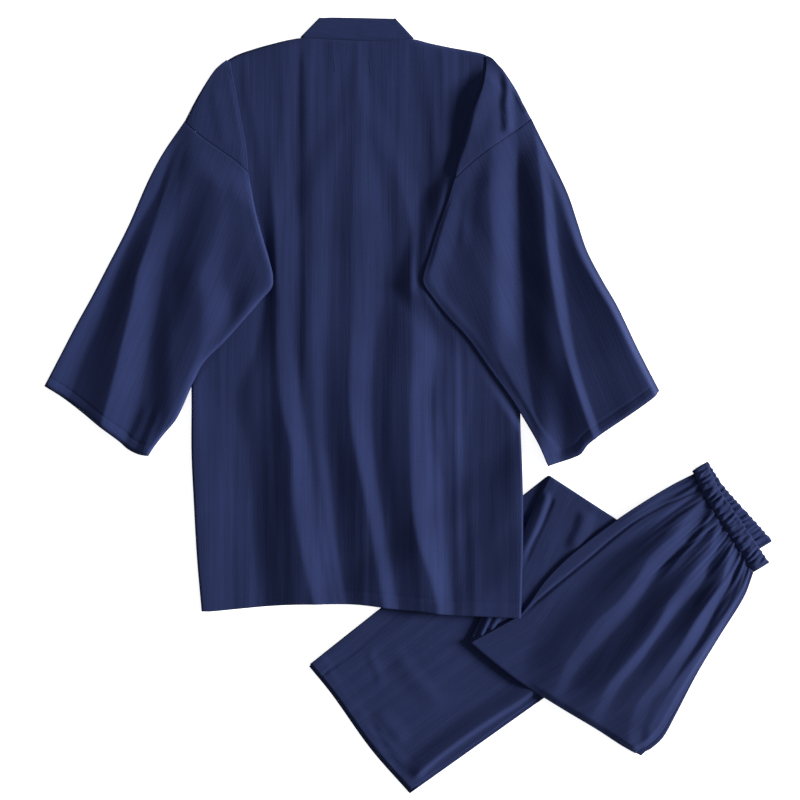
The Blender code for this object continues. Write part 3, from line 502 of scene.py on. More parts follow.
# Cloth, floor, light and camera
DARK_NAVY = (0.0102, 0.0160, 0.0572)
LIGHT_NAVY = (0.0171, 0.0265, 0.0915)
COTTON = {
    "Roughness": 0.88,
    "Specular IOR Level": 0.12,
    "Sheen Weight": 0.05,
    "Sheen Roughness": 0.5,
    "Sheen Tint": (0.45, 0.55, 1.0, 1.0),
}
PALE = {
    "Base Color": (0.95, 0.95, 0.95, 1.0),
    "Roughness": 0.95,
    "Specular IOR Level": 0.1,
    "Emission Color": (1.0, 1.0, 1.0, 1.0),
    "Emission Strength": 0.8,
}
FLOOR_SIZE = 8.0
FLOOR_GAP = 0.0004
SKY = 0.25
SUN_FROM = (1.0, 0.06, 0.31)
SUN_STRENGTH = 8.6
SUN_ANGLE = 17.0
SUN_COLOUR = (1.0, 0.99, 0.97)
LENS = 85.0
SENSOR = 36.0
VIEW_CENTRE = (-0.00876, 0.00687)
VIEW_WIDTH = 1.024


def soft_step(start, end, value):
    """A soft step from 0 at start to 1 at end."""
    share = np.clip((value - start) / (end - start), 0.0, 1.0)
    return share * share * (3.0 - 2.0 * share)


def lean(value):
    """A step from 0 to 1 that is half soft and half straight."""
    return (soft_step(0.0, 1.0, value) + np.clip(value, 0.0, 1.0)) / 2


def mix(first, last, share):
    return first + (last - first) * share


def xy(spot):
    return spot[..., 0], spot[..., 1]


def lift(spot, height):
    return np.concatenate((spot[..., :2], height[..., None]), axis=-1)


def pick(chosen, points, others):
    """Points where chosen holds, and the others elsewhere."""
    return np.where(chosen[..., None], points, others)


def groove(distance, depth, half_width):
    """Depth of a stitched groove at a distance from its middle."""
    return depth * np.exp(-((distance / half_width) ** 2))


def lengths_along(points):
    """Share of a line's length at each of its points."""
    steps = np.hypot(*np.diff(np.asarray(points, float), axis=0).T)
    marks = np.concatenate(([0.0], np.cumsum(steps)))
    return marks / marks[-1]


def through(marks, points, share):
    """A smooth line through points at their marks, read at shares between 0 and 1."""
    marks, points = np.asarray(marks, float), np.asarray(points, float)
    share = np.asarray(share, float)
    last = len(marks) - 1
    step = np.clip(np.searchsorted(marks, share) - 1, 0, last - 1)
    before = np.clip(np.arange(last + 1) - 1, 0, last)
    after = np.clip(np.arange(last + 1) + 1, 0, last)
    slopes = (points[after] - points[before]) / (marks[after] - marks[before])[:, None]
    width = (marks[step + 1] - marks[step])[..., None]
    t = (share[..., None] - marks[step][..., None]) / width
    spot = (2 * t**3 - 3 * t**2 + 1) * points[step] + (t**3 - 2 * t**2 + t) * width * slopes[step]
    spot += (3 * t**2 - 2 * t**3) * points[step + 1] + (t**3 - t**2) * width * slopes[step + 1]
    return spot


def curve(points, share):
    return through(lengths_along(points), points, share)


def side_edge(table, share):
    return through([row[0] for row in table], [row[1:] for row in table], share)


def heading(points, share):
    """Unit direction of a smooth line at shares of its length."""
    ahead, behind = np.minimum(share + 0.01, 1.0), np.maximum(share - 0.01, 0.0)
    way = curve(points, ahead) - curve(points, behind)
    return way / np.hypot(*xy(way))[..., None]


def patch(top, bottom, first, last, across, down):
    """Points of the sheet that four edges bound. The edges are functions of a share."""
    a, d = across[..., None], down[..., None]
    ends = [edge(np.array([0.0, 1.0])) for edge in (first, last)]
    spot = (1 - d) * top(across) + d * bottom(across)
    spot = spot + (1 - a) * first(down) + a * last(down)
    spot = spot - (1 - a) * ((1 - d) * ends[0][0] + d * ends[0][1])
    return spot - a * ((1 - d) * ends[1][0] + d * ends[1][1])


def outside(outline, x, y):
    """How far points lie outside a convex outline; below zero within it."""
    pairs = list(zip(outline, outline[1:] + outline[:1]))
    turning = sum(ax * by - bx * ay for (ax, ay), (bx, by) in pairs)
    farthest = np.full(np.shape(x), -1e9)
    for (ax, ay), (bx, by) in pairs:
        side = ((bx - ax) * (y - ay) - (by - ay) * (x - ax)) / math.dist((ax, ay), (bx, by))
        farthest = np.maximum(farthest, -side if turning > 0 else side)
    return farthest


def pile_height(sections, x, y, fall=LEG_FALL):
    """Top of the trousers' first sections, with the slope of cloth that lies over their edges."""
    height = np.zeros(np.shape(x))
    for outline in PILE[:sections]:
        height += SECTION_RISE * (1 - soft_step(fall[0], sum(fall), outside(outline, x, y)))
    return height


def jacket_ground(x, y):
    return GROUND + pile_height(3, x, y, JACKET_FALL)


def fronts_overlap(x, y, spread=0.0):
    """1 where the two fronts lie on each other, and 0 clear of their edges by the spread."""
    neckward = lean((y - NECKLINE_Y[0]) / (NECKLINE_Y[1] - NECKLINE_Y[0]))
    margin = OVERLAP_MARGIN + spread
    on_left = x - mix(*EDGE_LINES["left"], neckward) - margin
    on_right = x - mix(*EDGE_LINES["right"], neckward) + margin
    over_left = 1 - soft_step(0.0, OVERLAP_FALL, on_left)
    return np.minimum(over_left, soft_step(-OVERLAP_FALL, 0.0, on_right))


def back_height(x, y):
    low, high = SWELL_REACH
    for growth, start, end in SWELL_GROWTH:
        high = high + growth * soft_step(start, end, y)
    swell = SWELL * (1 - soft_step(low, high, outside(SLEEVES["right"]["cover"], x, y)))
    swell = swell * (1 - soft_step(*SWELL_END, x))
    swell = swell * soft_step(*SWELL_TOP, y) * soft_step(*SWELL_FOOT, y)
    fronts = PITCH * (1 + fronts_overlap(x, y, BACK_SPREAD))
    return jacket_ground(x, y) + BACK_LOFT + fronts + swell


def relief(folds, x, y):
    """Height that a table of folds adds."""
    height = np.zeros(np.shape(x))
    for crest_height, left, right, crisp, fade_in, fade_out, points in folds:
        crest = curve(points, np.linspace(0.0, 1.0, 5 * len(points)))
        marks = lengths_along(crest)
        nearest = np.full(np.shape(x), 1e9)
        side = np.zeros(np.shape(x))
        share = np.zeros(np.shape(x))
        for step, (first, second) in enumerate(zip(crest, crest[1:])):
            along = second - first
            part = ((x - first[0]) * along[0] + (y - first[1]) * along[1]) / (along @ along)
            part = np.clip(part, 0.0, 1.0)
            dx, dy = x - first[0] - along[0] * part, y - first[1] - along[1] * part
            distance = np.hypot(dx, dy)
            nearer = distance < nearest
            nearest = np.where(nearer, distance, nearest)
            side = np.where(nearer, dy * along[0] - dx * along[1], side)
            share = np.where(nearer, mix(marks[step], marks[step + 1], part), share)
        off = np.clip(nearest / np.where(side > 0, right, left), 0.0, 1.0)
        bump = (1 - off) ** 2 * (1 + 2 * off * (1 - crisp))
        fade = soft_step(-TINY, fade_in, share) * (1 - soft_step(1.0 - fade_out, 1.0 + TINY, share))
        height += FOLD_RISE * crest_height * fade * bump
    return height


def creased(creases, x, y):
    """Height of cloth between the creases that run down it."""
    lines = []
    for _, points in creases:
        points = np.asarray(points, float)
        drop = points[0, 1] - points[:, 1]
        share = np.clip((points[0, 1] - y) / drop[-1], 0.0, 1.0)
        lines.append(through(drop / drop[-1], points[:, [0, 2]], share))
    height = lines[0][..., 1]
    for order, (left, right) in enumerate(zip(lines, lines[1:])):
        start, end = creases[order][0], creases[order + 1][0]
        (left_x, left_rise), (right_x, right_rise) = xy(left), xy(right)
        t = np.clip((x - left_x) / np.maximum(right_x - left_x, 1.0), 0.0, 1.0)
        ease = t**2 * (3 - 2 * t) + start * t * (1 - t) ** 2 - end * t**2 * (1 - t)
        height = np.where(x > left_x, mix(left_rise, right_rise, ease), height)
    return CREASE_RISE * height


def crinkle(name, u, v):
    """Soft unevenness of the cloth, drawn out along the grain."""
    height = 0.0
    for across, along, rise, layer in CRINKLES[name]:
        spots = zip(u / across, v / along)
        waves = [noise.noise(Vector((a, b, layer * LAYER_STEP))) for a, b in spots]
        height = height + rise * np.array(waves)
    return height


def clear_of_sleeves(x, y):
    """0 under a sleeve, rising to 1 beside it."""
    clear = np.ones(np.shape(x))
    for side, reach in SLEEVE_CLEAR.items():
        clear = np.minimum(clear, soft_step(*reach, outside(SLEEVES[side]["cover"], x, y)))
    return clear


def body_spot(sides, across, down):
    edges = [partial(curve, SHOULDERS), partial(curve, HEM)]
    edges += [partial(side_edge, sides[side]) for side in ("left", "right")]
    return patch(*edges, across, down)


def pleat_rows():
    """How far down the pleat each of its rows lies: closer together beside the armhole seam."""
    return np.concatenate((np.linspace(0.0, 0.98, BACK_GRID["pleat"] - 2), (0.99, 0.996, 1.0)))


def body_rows():
    """How far down each row of the body lies."""
    pleat = ARMPIT * pleat_rows()[:-1]
    middle = np.linspace(ARMPIT, HEM_SHARE, BACK_GRID["middle"] + 1)[:-1]
    return np.concatenate((pleat, middle, np.linspace(HEM_SHARE, 1.0, BACK_GRID["hem"] + 1)))


def edged_shares(count, edge, inset):
    """Even shares from 0 to 1, with an extra one close to each end."""
    middle = np.linspace(inset, 1 - inset, count - 3)
    return np.concatenate(((0.0, edge), middle, (1 - edge, 1.0)))


def part_share(column, start, count):
    return np.clip((column - start) / count, 0.0, 1.0)


def turn(spot, outward, low, high, share, widest=WIDEST_TURN):
    """Points of the half circle by which cloth turns over from one height to another."""
    radius = (high - low) / 2
    bulge = (np.minimum(np.abs(radius), widest) * np.sin(np.pi * share))[..., None]
    middle = (low + high) / 2 - radius * np.cos(np.pi * share)
    return lift(spot[..., :2] + np.asarray(outward) * bulge, middle)


def add_grid(cloth, weave, columns, rows, place):
    """Adds a grid whose points, and places on the flat cloth, are set by place(column, row)."""
    made = bmesh.ops.create_grid(cloth, x_segments=columns, y_segments=rows, size=0.5)["verts"]
    spots = np.array([vertex.co[:2] for vertex in made]) + 0.5
    points, flat = place(*(np.rint(spots * (columns, rows)).astype(int).T))
    points, flat = (points + CENTRE) * MM, flat * MM
    faces = set()
    for order, vertex in enumerate(made):
        vertex.co = points[order]
        vertex.index = order
        faces.update(vertex.link_faces)
    for face in faces:
        for loop in face.loops:
            loop[weave].uv = flat[loop.vert.index]


def along_grain(points, sideways):
    """Places on the flat cloth, whose threads lean sideways as they run down."""
    way = np.array((sideways, -1.0)) / np.hypot(sideways, 1.0)
    x, y = xy(points)
    return np.stack((x * way[1] - y * way[0], x * way[0] + y * way[1]), axis=-1)


def add_object(name, data):
    thing = bpy.data.objects.new(name, data)
    bpy.context.scene.collection.objects.link(thing)
    return thing


def add_piece(name, shape, material):
    """Turns a shape into a smooth object of one material."""
    mesh = bpy.data.meshes.new(name)
    shape.to_mesh(mesh)
    shape.free()
    mesh.shade_smooth()
    mesh.materials.append(material)
    return add_object(name, mesh)


def dress(name, part, material, grids, wall=GAUZE):
    """Makes a piece of cloth from its grids, gives it its wall and lays it in its node's place."""
    cloth = bmesh.new()
    weave = cloth.loops.layers.uv.new("weave")
    for columns, rows, place in grids:
        add_grid(cloth, weave, columns, rows, place)
    bmesh.ops.remove_doubles(cloth, verts=cloth.verts, dist=WELD * MM)
    bmesh.ops.recalc_face_normals(cloth, faces=cloth.faces)
    piece = add_piece(name, cloth, material)
    thickness = piece.modifiers.new("wall", "SOLIDIFY")
    thickness.thickness = wall * MM
    thickness.offset = 0.0
    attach(piece, "root")
    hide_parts(part)
    return piece


def sleeve_height(side, x, y, level):
    """Middle height of a sleeve's lower layer (level 0) or upper layer (level 1)."""
    table = BACK_SIDES[side]
    (_, armpit_x, armpit_y), ends = table[1], (table[0], table[-1])
    upper, lower = (
        mix(armpit_x, end_x, (y - armpit_y) / (end_y - armpit_y)) for _, end_x, end_y in ends
    )
    beyond = (x - np.where(y > armpit_y, upper, lower)) * SLEEVES[side]["outward"]
    on_body = 1 - soft_step(SLEEVE_FALL[0], sum(SLEEVE_FALL), beyond)
    return mix(GROUND, back_height(x, y) + LAP, on_body) + (LAP + SLEEVE_LOFT) * level


def back_base(across, down):
    spot = body_spot(BACK_SIDES, across, down)
    x, y = xy(spot)
    folds = relief(BACK_FOLDS, x, y) + creased(BACK_CREASES, x, y) + crinkle("back", x, y)
    height = back_height(x, y) + folds * clear_of_sleeves(x, y)
    height -= groove((1 - down) * JACKET_LENGTH - BACK_HEM, *HEM_GROOVE)
    edge = soft_step(0.0, 0.5, np.minimum(across, 1 - across) * JACKET_WIDTH)
    edge = np.minimum(edge + soft_step(ARMPIT, ARMPIT - 0.01, down), 1.0)
    height = mix(jacket_ground(x, y) + SEWN, height, edge)
    neck = NECK_RISE * soft_step(*NECK_LEFT, across) * soft_step(*NECK_RIGHT, across)
    below = soft_step(0.0, SHOULDER_FALL, down * JACKET_LENGTH)
    return lift(spot, mix(GROUND + SEWN + neck, height, below))


def make_back(material):
    """The back panel with the pleat that laps over it at each shoulder."""
    rows = body_rows()
    shares = edged_shares(BACK_GRID["across"], 0.0012, 0.0075)

    def base(column, row):
        points = back_base(shares[column], rows[row])
        return points, points[..., :2]

    grids = [(BACK_GRID["across"], len(rows) - 1, base)]
    grids += [pleat_grid("left", 0.0), pleat_grid("right", 1.0)]
    return dress("kimono_back", "jacket_back", material, grids)


def pleat_grid(side, edge_share):
    """Cloth that turns over at the hidden fold, comes back to the visible one and turns again."""
    sleeve = SLEEVES[side]
    under, over = PLEAT_GRID["under"], PLEAT_GRID["over"]
    marks = np.cumsum((0, TURN, under, TURN, over))
    overs = np.concatenate(((0.0, 0.012), np.linspace(0.04, 1.0, over - 1)))
    along = heading([row[1:] for row in BACK_SIDES[side][:2]], np.array(0.5))
    out = np.array((-along[1], along[0])) * sleeve["outward"]
    edges = (
        partial(curve, [sleeve["pleat"][0], sleeve["shoulder"][0]]),
        lambda share: curve(sleeve["seam"][::-1], share) + np.array((0.0, 0.1)),
        partial(curve, sleeve["pleat"]),
        partial(curve, sleeve["shoulder"]),
    )

    def place(column, row):
        share = pleat_rows()[row]
        edge = back_base(np.full(np.shape(row), edge_share), ARMPIT * share)
        fold = curve(sleeve["pleat"], share)
        part = part_share(column, 0, TURN)
        points = turn(edge, out, edge[..., 2], sleeve_height(side, *xy(edge), 0), part)
        apex = PLEAT_DROP * part * soft_step(*PLEAT_APEX, share)
        part = part_share(column, marks[1], under)[..., None]
        middle = edge[..., :2] * (1 - part) + fold * part
        middle = lift(middle, sleeve_height(side, *xy(middle), 0))
        part = part_share(column, marks[2], TURN)
        heights = sleeve_height(side, *xy(fold), 0), flap_height(side, *xy(fold), share)
        visible = turn(fold, -out, *heights, part, PLEAT_TURN)
        flap = patch(*edges, overs[np.clip(column - marks[3], 0, over)], share)
        flap = lift(flap, flap_height(side, *xy(flap), share))
        for mark, sheet in zip(marks[1:4], (middle, visible, flap)):
            points = pick(column > mark, sheet, points)
        points[..., 2] -= apex
        return points, along_grain(points, PLEAT_GRAIN * sleeve["outward"])

    return marks[-1], BACK_GRID["pleat"], place


def edge_loft(side, line, share, x, y):
    """Rise of the cloth beside a sleeve's lapping edge."""
    edge = curve(SLEEVES[side][line], share)
    distance = np.hypot(x - edge[..., 0], y - edge[..., 1])
    return EDGE_LOFT[side] * (1 - soft_step(0.0, LOFT_REACH[side], distance))


def flap_height(side, x, y, share):
    """Middle height of the flap between the visible fold and the armhole seam."""
    bumps = relief(FLAP_FOLDS[side], x, y) * soft_step(0.0, 0.1, share)
    loft = edge_loft(side, "pleat", share, x, y) * soft_step(0.0, 0.35, share)
    dip = groove((1 - share) * FLAP_LENGTH, *FLAP_GROOVE)
    return sleeve_height(side, x, y, 1) + bumps - dip + loft


def make_sleeve(side, material):
    """A flattened tube from the dropped armhole to the cuff, open at both ends."""
    sleeve = SLEEVES[side]
    sign = sleeve["outward"]
    over_count, under_count, rows = (SLEEVE_GRID[key] for key in ("over", "under", "down"))
    marks = np.cumsum((0, over_count, TURN, under_count, TURN))
    ends = (0.96, 0.9632, 0.9658, 0.9684, 0.9716, 0.985, 1.0)
    downs = np.concatenate(((0.0, 0.0025, 0.0055), np.linspace(0.01, 0.956, rows - 9), ends))
    overs = edged_shares(over_count, 0.003, 0.01)
    seam_tuck, seam_slack, seam_drop = 0.8, 0.1, 0.65
    _, armpit_x, armpit_y = BACK_SIDES[side][1]
    under_seam = (sleeve["seam"][0], (armpit_x + 2.5 * sign, armpit_y - 5.4), sleeve["seam"][-1])

    def broken(share):
        share = np.asarray(share)[..., None]
        first, middle, last = (np.array(point, float) for point in under_seam)
        lower = mix(middle, last, share * 2 - 1)
        return np.where(share < 0.5, mix(first, middle, share * 2), lower)

    def sheet_spot(seam, across, down):
        edges = (partial(curve, sleeve[key]) for key in ("cuff", "outer", "inner"))
        spot = patch(seam, *edges, across, down)
        spot[..., 1] += seam_tuck * (down == 0) - seam_slack * (1 - down)
        return spot

    def over(across, down):
        spot = sheet_spot(partial(curve, sleeve["seam"]), across, down)
        x, y = xy(spot)
        outer_fade, inner_fade = EDGE_FADE[side]
        fade = soft_step(0.0, outer_fade, across) * soft_step(0.0, inner_fade, 1 - across)
        fade = fade * soft_step(0.0, SEAM_FADE, down)
        folds = relief(SLEEVE_FOLDS[side], x, y) + creased(SLEEVE_CREASES[side], x, y)
        folds = folds + crinkle("sleeve", *xy(along_grain(spot, SLEEVE_GRAIN * sign)))
        height = sleeve_height(side, x, y, 1) + folds * fade - seam_drop * (down == 0)
        height -= groove(down * ARMHOLE_LENGTH, *ARMHOLE_GROOVE)
        height -= groove((1 - down) * SLEEVE_LENGTH - CUFF_HEM, *CUFF_GROOVE)
        height += edge_loft(side, "inner", down, x, y) * (1 - CUFF_FALL * soft_step(0.7, 1.0, down))
        return lift(spot, height)

    def under(across, down):
        spot = sheet_spot(broken, across, down)
        return lift(spot, sleeve_height(side, *xy(spot), 0))

    def edge_turn(edge, across, down, share, upwards):
        along = heading(sleeve[edge], down)
        way = sign if edge == "outer" else -sign
        out = np.stack((-along[..., 1], along[..., 0]), axis=-1) * way * SLEEVE_TURN[edge]
        low, high = under(across, down), over(across, down)
        start, end = (low, high) if upwards else (high, low)
        return turn(high, out, start[..., 2], end[..., 2], share)

    def place(column, row):
        down = downs[row]
        ones, zeros = np.ones(np.shape(down)), np.zeros(np.shape(down))
        points = over(overs[np.clip(column, 0, over_count)], down)
        inner = edge_turn("inner", ones, down, part_share(column, marks[1], TURN), False)
        below = under(1 - part_share(column, marks[2], under_count), down)
        outer = edge_turn("outer", zeros, down, part_share(column, marks[3], TURN), True)
        for mark, sheet in zip(marks[1:4], (inner, below, outer)):
            points = pick(column > mark, sheet, points)
        return points, along_grain(points, SLEEVE_GRAIN * sign)

    grids = [(marks[-1], rows, place)]
    return dress("kimono_sleeve_" + side, "sleeve_" + side, material, grids)


def band_edge(side, down):
    """Share across the body at which the collar band is sewn to a front."""
    chest, neck = FRONT_EDGES[side]
    return mix(neck, chest, lean(down / NECK_DEPTH))


def make_front(side, material):
    """One front, which runs from the side seam past the centre to the collar band."""
    columns, rows = FRONT_GRID["across"], FRONT_GRID["down"]
    top_tuck = 0.8

    def place(column, row):
        down = row / rows
        sewn = band_edge(side, down)
        start, end, way = (0.0, sewn, -1) if side == "left" else (sewn, 1.0, 1)
        spot = body_spot(FRONT_SIDES, mix(start, end, column / columns), down)
        height = jacket_ground(*xy(spot))
        if side == "right":
            height = height + PITCH * fronts_overlap(*xy(spot))
        spot[..., 0] += SEAM_GAP * way
        spot[..., 1] -= top_tuck * (row == 0)
        return lift(spot, height), spot

    grids = [(columns, rows, place)]
    return dress("kimono_front_" + side, "jacket_front_" + side, material, grids)


def make_collar(material):
    """The band: up one front, round the back of the neck and down the other front."""
    columns, front, neck_count = COLLAR_GRID["across"], COLLAR_GRID["front"], COLLAR_GRID["neck"]
    downs = np.linspace(0.0, 1.0, front + 1)[1:]
    turns = np.arange(TURN) / TURN
    kinds = np.repeat(range(6), (front, TURN, neck_count, TURN, 1, front))
    shares = np.concatenate(
        (downs[::-1], turns, np.arange(neck_count) / neck_count, turns, [0.0], downs)
    )
    neck_height = GROUND + PITCH
    diagonal = math.sqrt(0.5)

    def place(column, row):
        kind, share, across = kinds[row], shares[row], column / columns
        points = np.zeros(np.shape(row) + (3,))
        for code, side, way in ((0, "left", 1), (5, "right", -1)):
            part = kind == code
            down = share[part]
            sewn = band_edge(side, down) + way * COLLAR_SHARE * across[part]
            spot = body_spot(FRONT_SIDES, sewn, down)
            rise = PITCH * fronts_overlap(*xy(spot)) * (side == "right")
            spot[..., 0] += SEAM_GAP * way
            points[part] = lift(spot, jacket_ground(*xy(spot)) + rise)
        end = np.where(kind == 1, 0.0, np.where(kind == 2, share, 1.0))
        neck = mix(curve(BAND_FOOT, end), curve(BAND_TOP, end), across[..., None])
        low = np.where(kind == 1, GROUND, neck_height)
        high = np.where(kind == 1, neck_height, GROUND)
        out = pick(kind == 1, (-diagonal, diagonal), (diagonal, diagonal))
        points = pick(kind == 2, lift(neck, np.full(np.shape(share), neck_height)), points)
        points = pick((kind == 1) | (kind == 3), turn(neck, out, low, high, share), points)
        points = pick(kind == 4, lift(neck, np.full(np.shape(share), GROUND)), points)
        return points, np.stack((across * BAND_WIDTH, row * COLLAR_STEP), axis=-1)

    grids = [(columns, len(shares) - 1, place)]
    return dress("kimono_collar", "collar_band", material, grids, BAND_WALL)


def fold_line(points, share, outwards):
    """Middle of the turn of a fold of the trousers, set in from the fold's outer edge."""
    return curve(points, share) - np.array(FOLD_SIDE) * FOLD_BULGE * outwards


def leg_flat(leg, section, across, down):
    """Where a leg's cloth lies: a share of the way across and down one of its three sections."""
    low, high = leg["spans"][section]
    if section:
        low0, high0 = leg["spans"][section - 1]
        low, high = mix(low0, low, down), mix(high0, high, down)
    across = mix(low, high, across)
    end = fold_line(FIRST_FOLD, across, 1)
    if section == 0:
        return mix(curve(LEG_HEM, across), end, down[..., None])
    if section == 1:
        return mix(end, fold_line(SECOND_FOLD, across, -1), down[..., None])
    corners = [fold_line(SECOND_FOLD, np.array(share), -1) for share in (0.0, 1.0)]
    sides = [[corners[0]] + SIDE_EDGE, [corners[1]] + CENTRE_EDGE]
    edges = [partial(fold_line, SECOND_FOLD, outwards=-1), partial(curve, WAIST_SEAM)]
    return patch(*edges, *(partial(curve, side) for side in sides), across, down)


def leg_height(leg, section, spot):
    """Middle height of a leg's cloth before its folds."""
    pile = pile_height(section, *xy(spot))
    return pile + LEG_WALL / 2 + LEG_LOFT + LEG_PITCH * leg["levels"][section]


def leg_folds(section, spot, across, down):
    """Folds of the upper leg's cloth in one section, which fade towards its edges."""
    x, y = xy(spot)
    u, v = across * LEG_WIDTH, down * SECTION_LENGTH
    key = LEG_SECTIONS[section]
    to_edge = np.minimum(across, 1 - across)
    inside = soft_step(0.0, SIDE_FADE[section], to_edge)
    near_fold = soft_step(0.0, END_FADE[section], down if section == 2 else 1 - down)
    folds = relief(LEG_FOLDS[key], x, y) + crinkle(key, u, v)
    if section == 2:
        folds = folds + WAIST_FOLDS * creased(TROUSER_CREASES, x, y)
        folds = folds + crinkle("gathers", u, v) * soft_step(0.6, 0.95, down)
    rise = folds * inside * near_fold
    rise = rise - LEG_EDGE[section] * soft_step(LEG_EDGE_WIDTH, 0.0, to_edge) * near_fold
    if section == 0:
        rise = rise + LEG_HEM_STEP * (soft_step(*LEG_HEM_WIDTH, v) - 1)
        rise = np.maximum(rise, LAYER_CLEAR - LEG_PITCH)
    return rise


def make_leg(name, material):
    """A flattened leg from its hem to the waist seam, folded over twice."""
    leg = LEGS[name]
    kinds, shares = [], []
    for section, key in enumerate(LEG_SECTIONS):
        for kind, count in ((section * 2, leg["rows"][key]), (section * 2 + 1, LEG_TURN)):
            if kind < 5:
                kinds += [kind] * count
                shares += [step / count for step in range(count)]
    kinds, shares = np.array(kinds + [4]), np.array(shares + [1.0])
    farthest_down = 0.9985

    def place(column, row):
        across = column / leg["across"]
        kind, share = kinds[row], shares[row]
        points = np.zeros(np.shape(row) + (3,))
        for section in range(3):
            part = kind == section * 2
            a, down = across[part], share[part]
            if section == 0:
                down = mix(leg["hem"], 1.0, down)
            down = np.minimum(down, farthest_down)
            spot = leg_flat(leg, section, a, down)
            rise = leg_height(leg, section, spot)
            if leg["levels"][section]:
                rise = rise + leg_folds(section, spot, a, down)
            points[part] = lift(spot, rise)
        for code, section, out in ((1, 0, 1.0), (3, 1, -1.0)):
            part = kind == code
            spot = leg_flat(leg, section, across[part], np.ones(part.sum()))
            low, high = (leg_height(leg, each, spot) for each in (section, section + 1))
            points[part] = turn(spot, np.array(FOLD_SIDE) * out, low, high, share[part])
        along = row * (LEG_LENGTH / (len(kinds) - 1))
        return points, np.stack((across * LEG_WIDTH, along), axis=-1)

    grids = [(leg["across"], len(kinds) - 1, place)]
    return dress("trouser_" + name, name, material, grids, LEG_WALL)


def waist_line():
    """Length and direction of the waist seam from end to end."""
    way = np.subtract(WAIST_SEAM[-1], WAIST_SEAM[0])
    length = np.hypot(*way)
    return length, way / length


def band_spot(layer, share, across):
    """A point of one layer of the waistband, with its gathers."""
    waist, along = waist_line()
    out = np.array((-along[1], along[0]))
    gathered = bool(layer["gathers"])
    phase = 2 * np.pi * (layer["gathers"] * share + crinkle("sway", share, across))
    reach = mix(*layer["reach"], share) + BAND_SCALLOP * np.cos(phase) * gathered
    outwards = mix(BAND_SEAM, reach, across)
    along_waist = mix(layer["start"], layer["end"], share)
    inside = np.clip(along_waist / waist, 0.0, 1.0)
    spot = curve(WAIST_SEAM, inside) + along * (along_waist - inside * waist)[..., None]
    spot = spot + out * outwards[..., None]
    fade = soft_step(0.0, GATHER_END, np.minimum(share, 1 - share))
    depth = GATHER_DEPTH + crinkle("depth", share, across)
    wave = np.cos(phase) * depth + crinkle("wave", share, across)
    wave = wave * layer["gather"] * fade * (1 - BAND_CALM * soft_step(0.7, 1.0, across))
    wave = wave * mix(GATHER_START, 1.0, soft_step(0.0, 0.25, across))
    low = BAND_DIP * soft_step(0.3, 0.0, across) * (layer is BAND_LAYERS[0])
    puff = BAND_PUFF * np.sin(np.pi * np.clip(across, 0, 1)) * gathered * fade
    return lift(spot, pile_height(2, *xy(spot)) + layer["height"] - low - wave + puff)


def make_waistband(material):
    """The gathered casing: a strip round the waist, folded flat so that it lies in four layers."""
    _, along = waist_line()
    layers, shares = [], []
    for index, layer in enumerate(BAND_LAYERS):
        last = index == len(BAND_LAYERS) - 1
        for mark, count, steps in (
            (index, layer["columns"], layer["columns"] + last),
            (index + 0.5, TURN, TURN * (not last)),
        ):
            layers += [mark] * steps
            shares += [step / count for step in range(steps)]
    layers, shares = np.array(layers), np.array(shares)

    def place(column, row):
        index, share = layers[column], shares[column]
        across = row / BAND_ROWS
        points = np.zeros(np.shape(row) + (3,))
        for order, layer in enumerate(BAND_LAYERS):
            part = index == order
            points[part] = band_spot(layer, share[part], across[part])
            part = index == order + 0.5
            if not part.any():
                continue
            upper = band_spot(layer, np.ones(part.sum()), across[part])
            lower = band_spot(BAND_LAYERS[order + 1], np.zeros(part.sum()), across[part])
            way = 1 if layer["end"] > layer["start"] else -1
            middle = mix(upper, lower, share[part][..., None])
            points[part] = turn(middle, along * way, upper[..., 2], lower[..., 2], share[part])
        return points, np.stack((across * BAND_WIDTH, column * GATHER_STEP), axis=-1)

    grids = [(len(shares) - 1, BAND_ROWS, place)]
    return dress("trouser_waistband", "waistband", material, grids)


class Wire:
    """A socket on which sums can be written."""

    def __init__(self, tree, socket):
        self.tree = tree
        self.socket = socket

    def sum(self, operation, first, second):
        return node(self.tree, "ShaderNodeMath", {"operation": operation}, {0: first, 1: second})

    def __add__(self, other):
        return self.sum("ADD", self, other)

    def __radd__(self, other):
        return self.sum("ADD", other, self)

    def __mul__(self, other):
        return self.sum("MULTIPLY", self, other)

    def __rmul__(self, other):
        return self.sum("MULTIPLY", other, self)


def set_sockets(tree, made, values):
    """Gives a node's sockets values or links."""
    for key, value in values.items():
        if isinstance(value, Wire):
            tree.links.new(value.socket, made.inputs[key])
        else:
            made.inputs[key].default_value = value


def node(tree, kind, settings, values, output=0):
    """Adds a node, sets it, gives its sockets values or links and returns one of its outputs."""
    made = tree.nodes.new(kind)
    for key, value in settings.items():
        setattr(made, key, value)
    set_sockets(tree, made, values)
    return Wire(tree, made.outputs[output])


def surface_of(name):
    """A new material, its node tree and its surface node."""
    material = bpy.data.materials.new(name)
    material.use_nodes = True
    return material, material.node_tree, material.node_tree.nodes["Principled BSDF"]


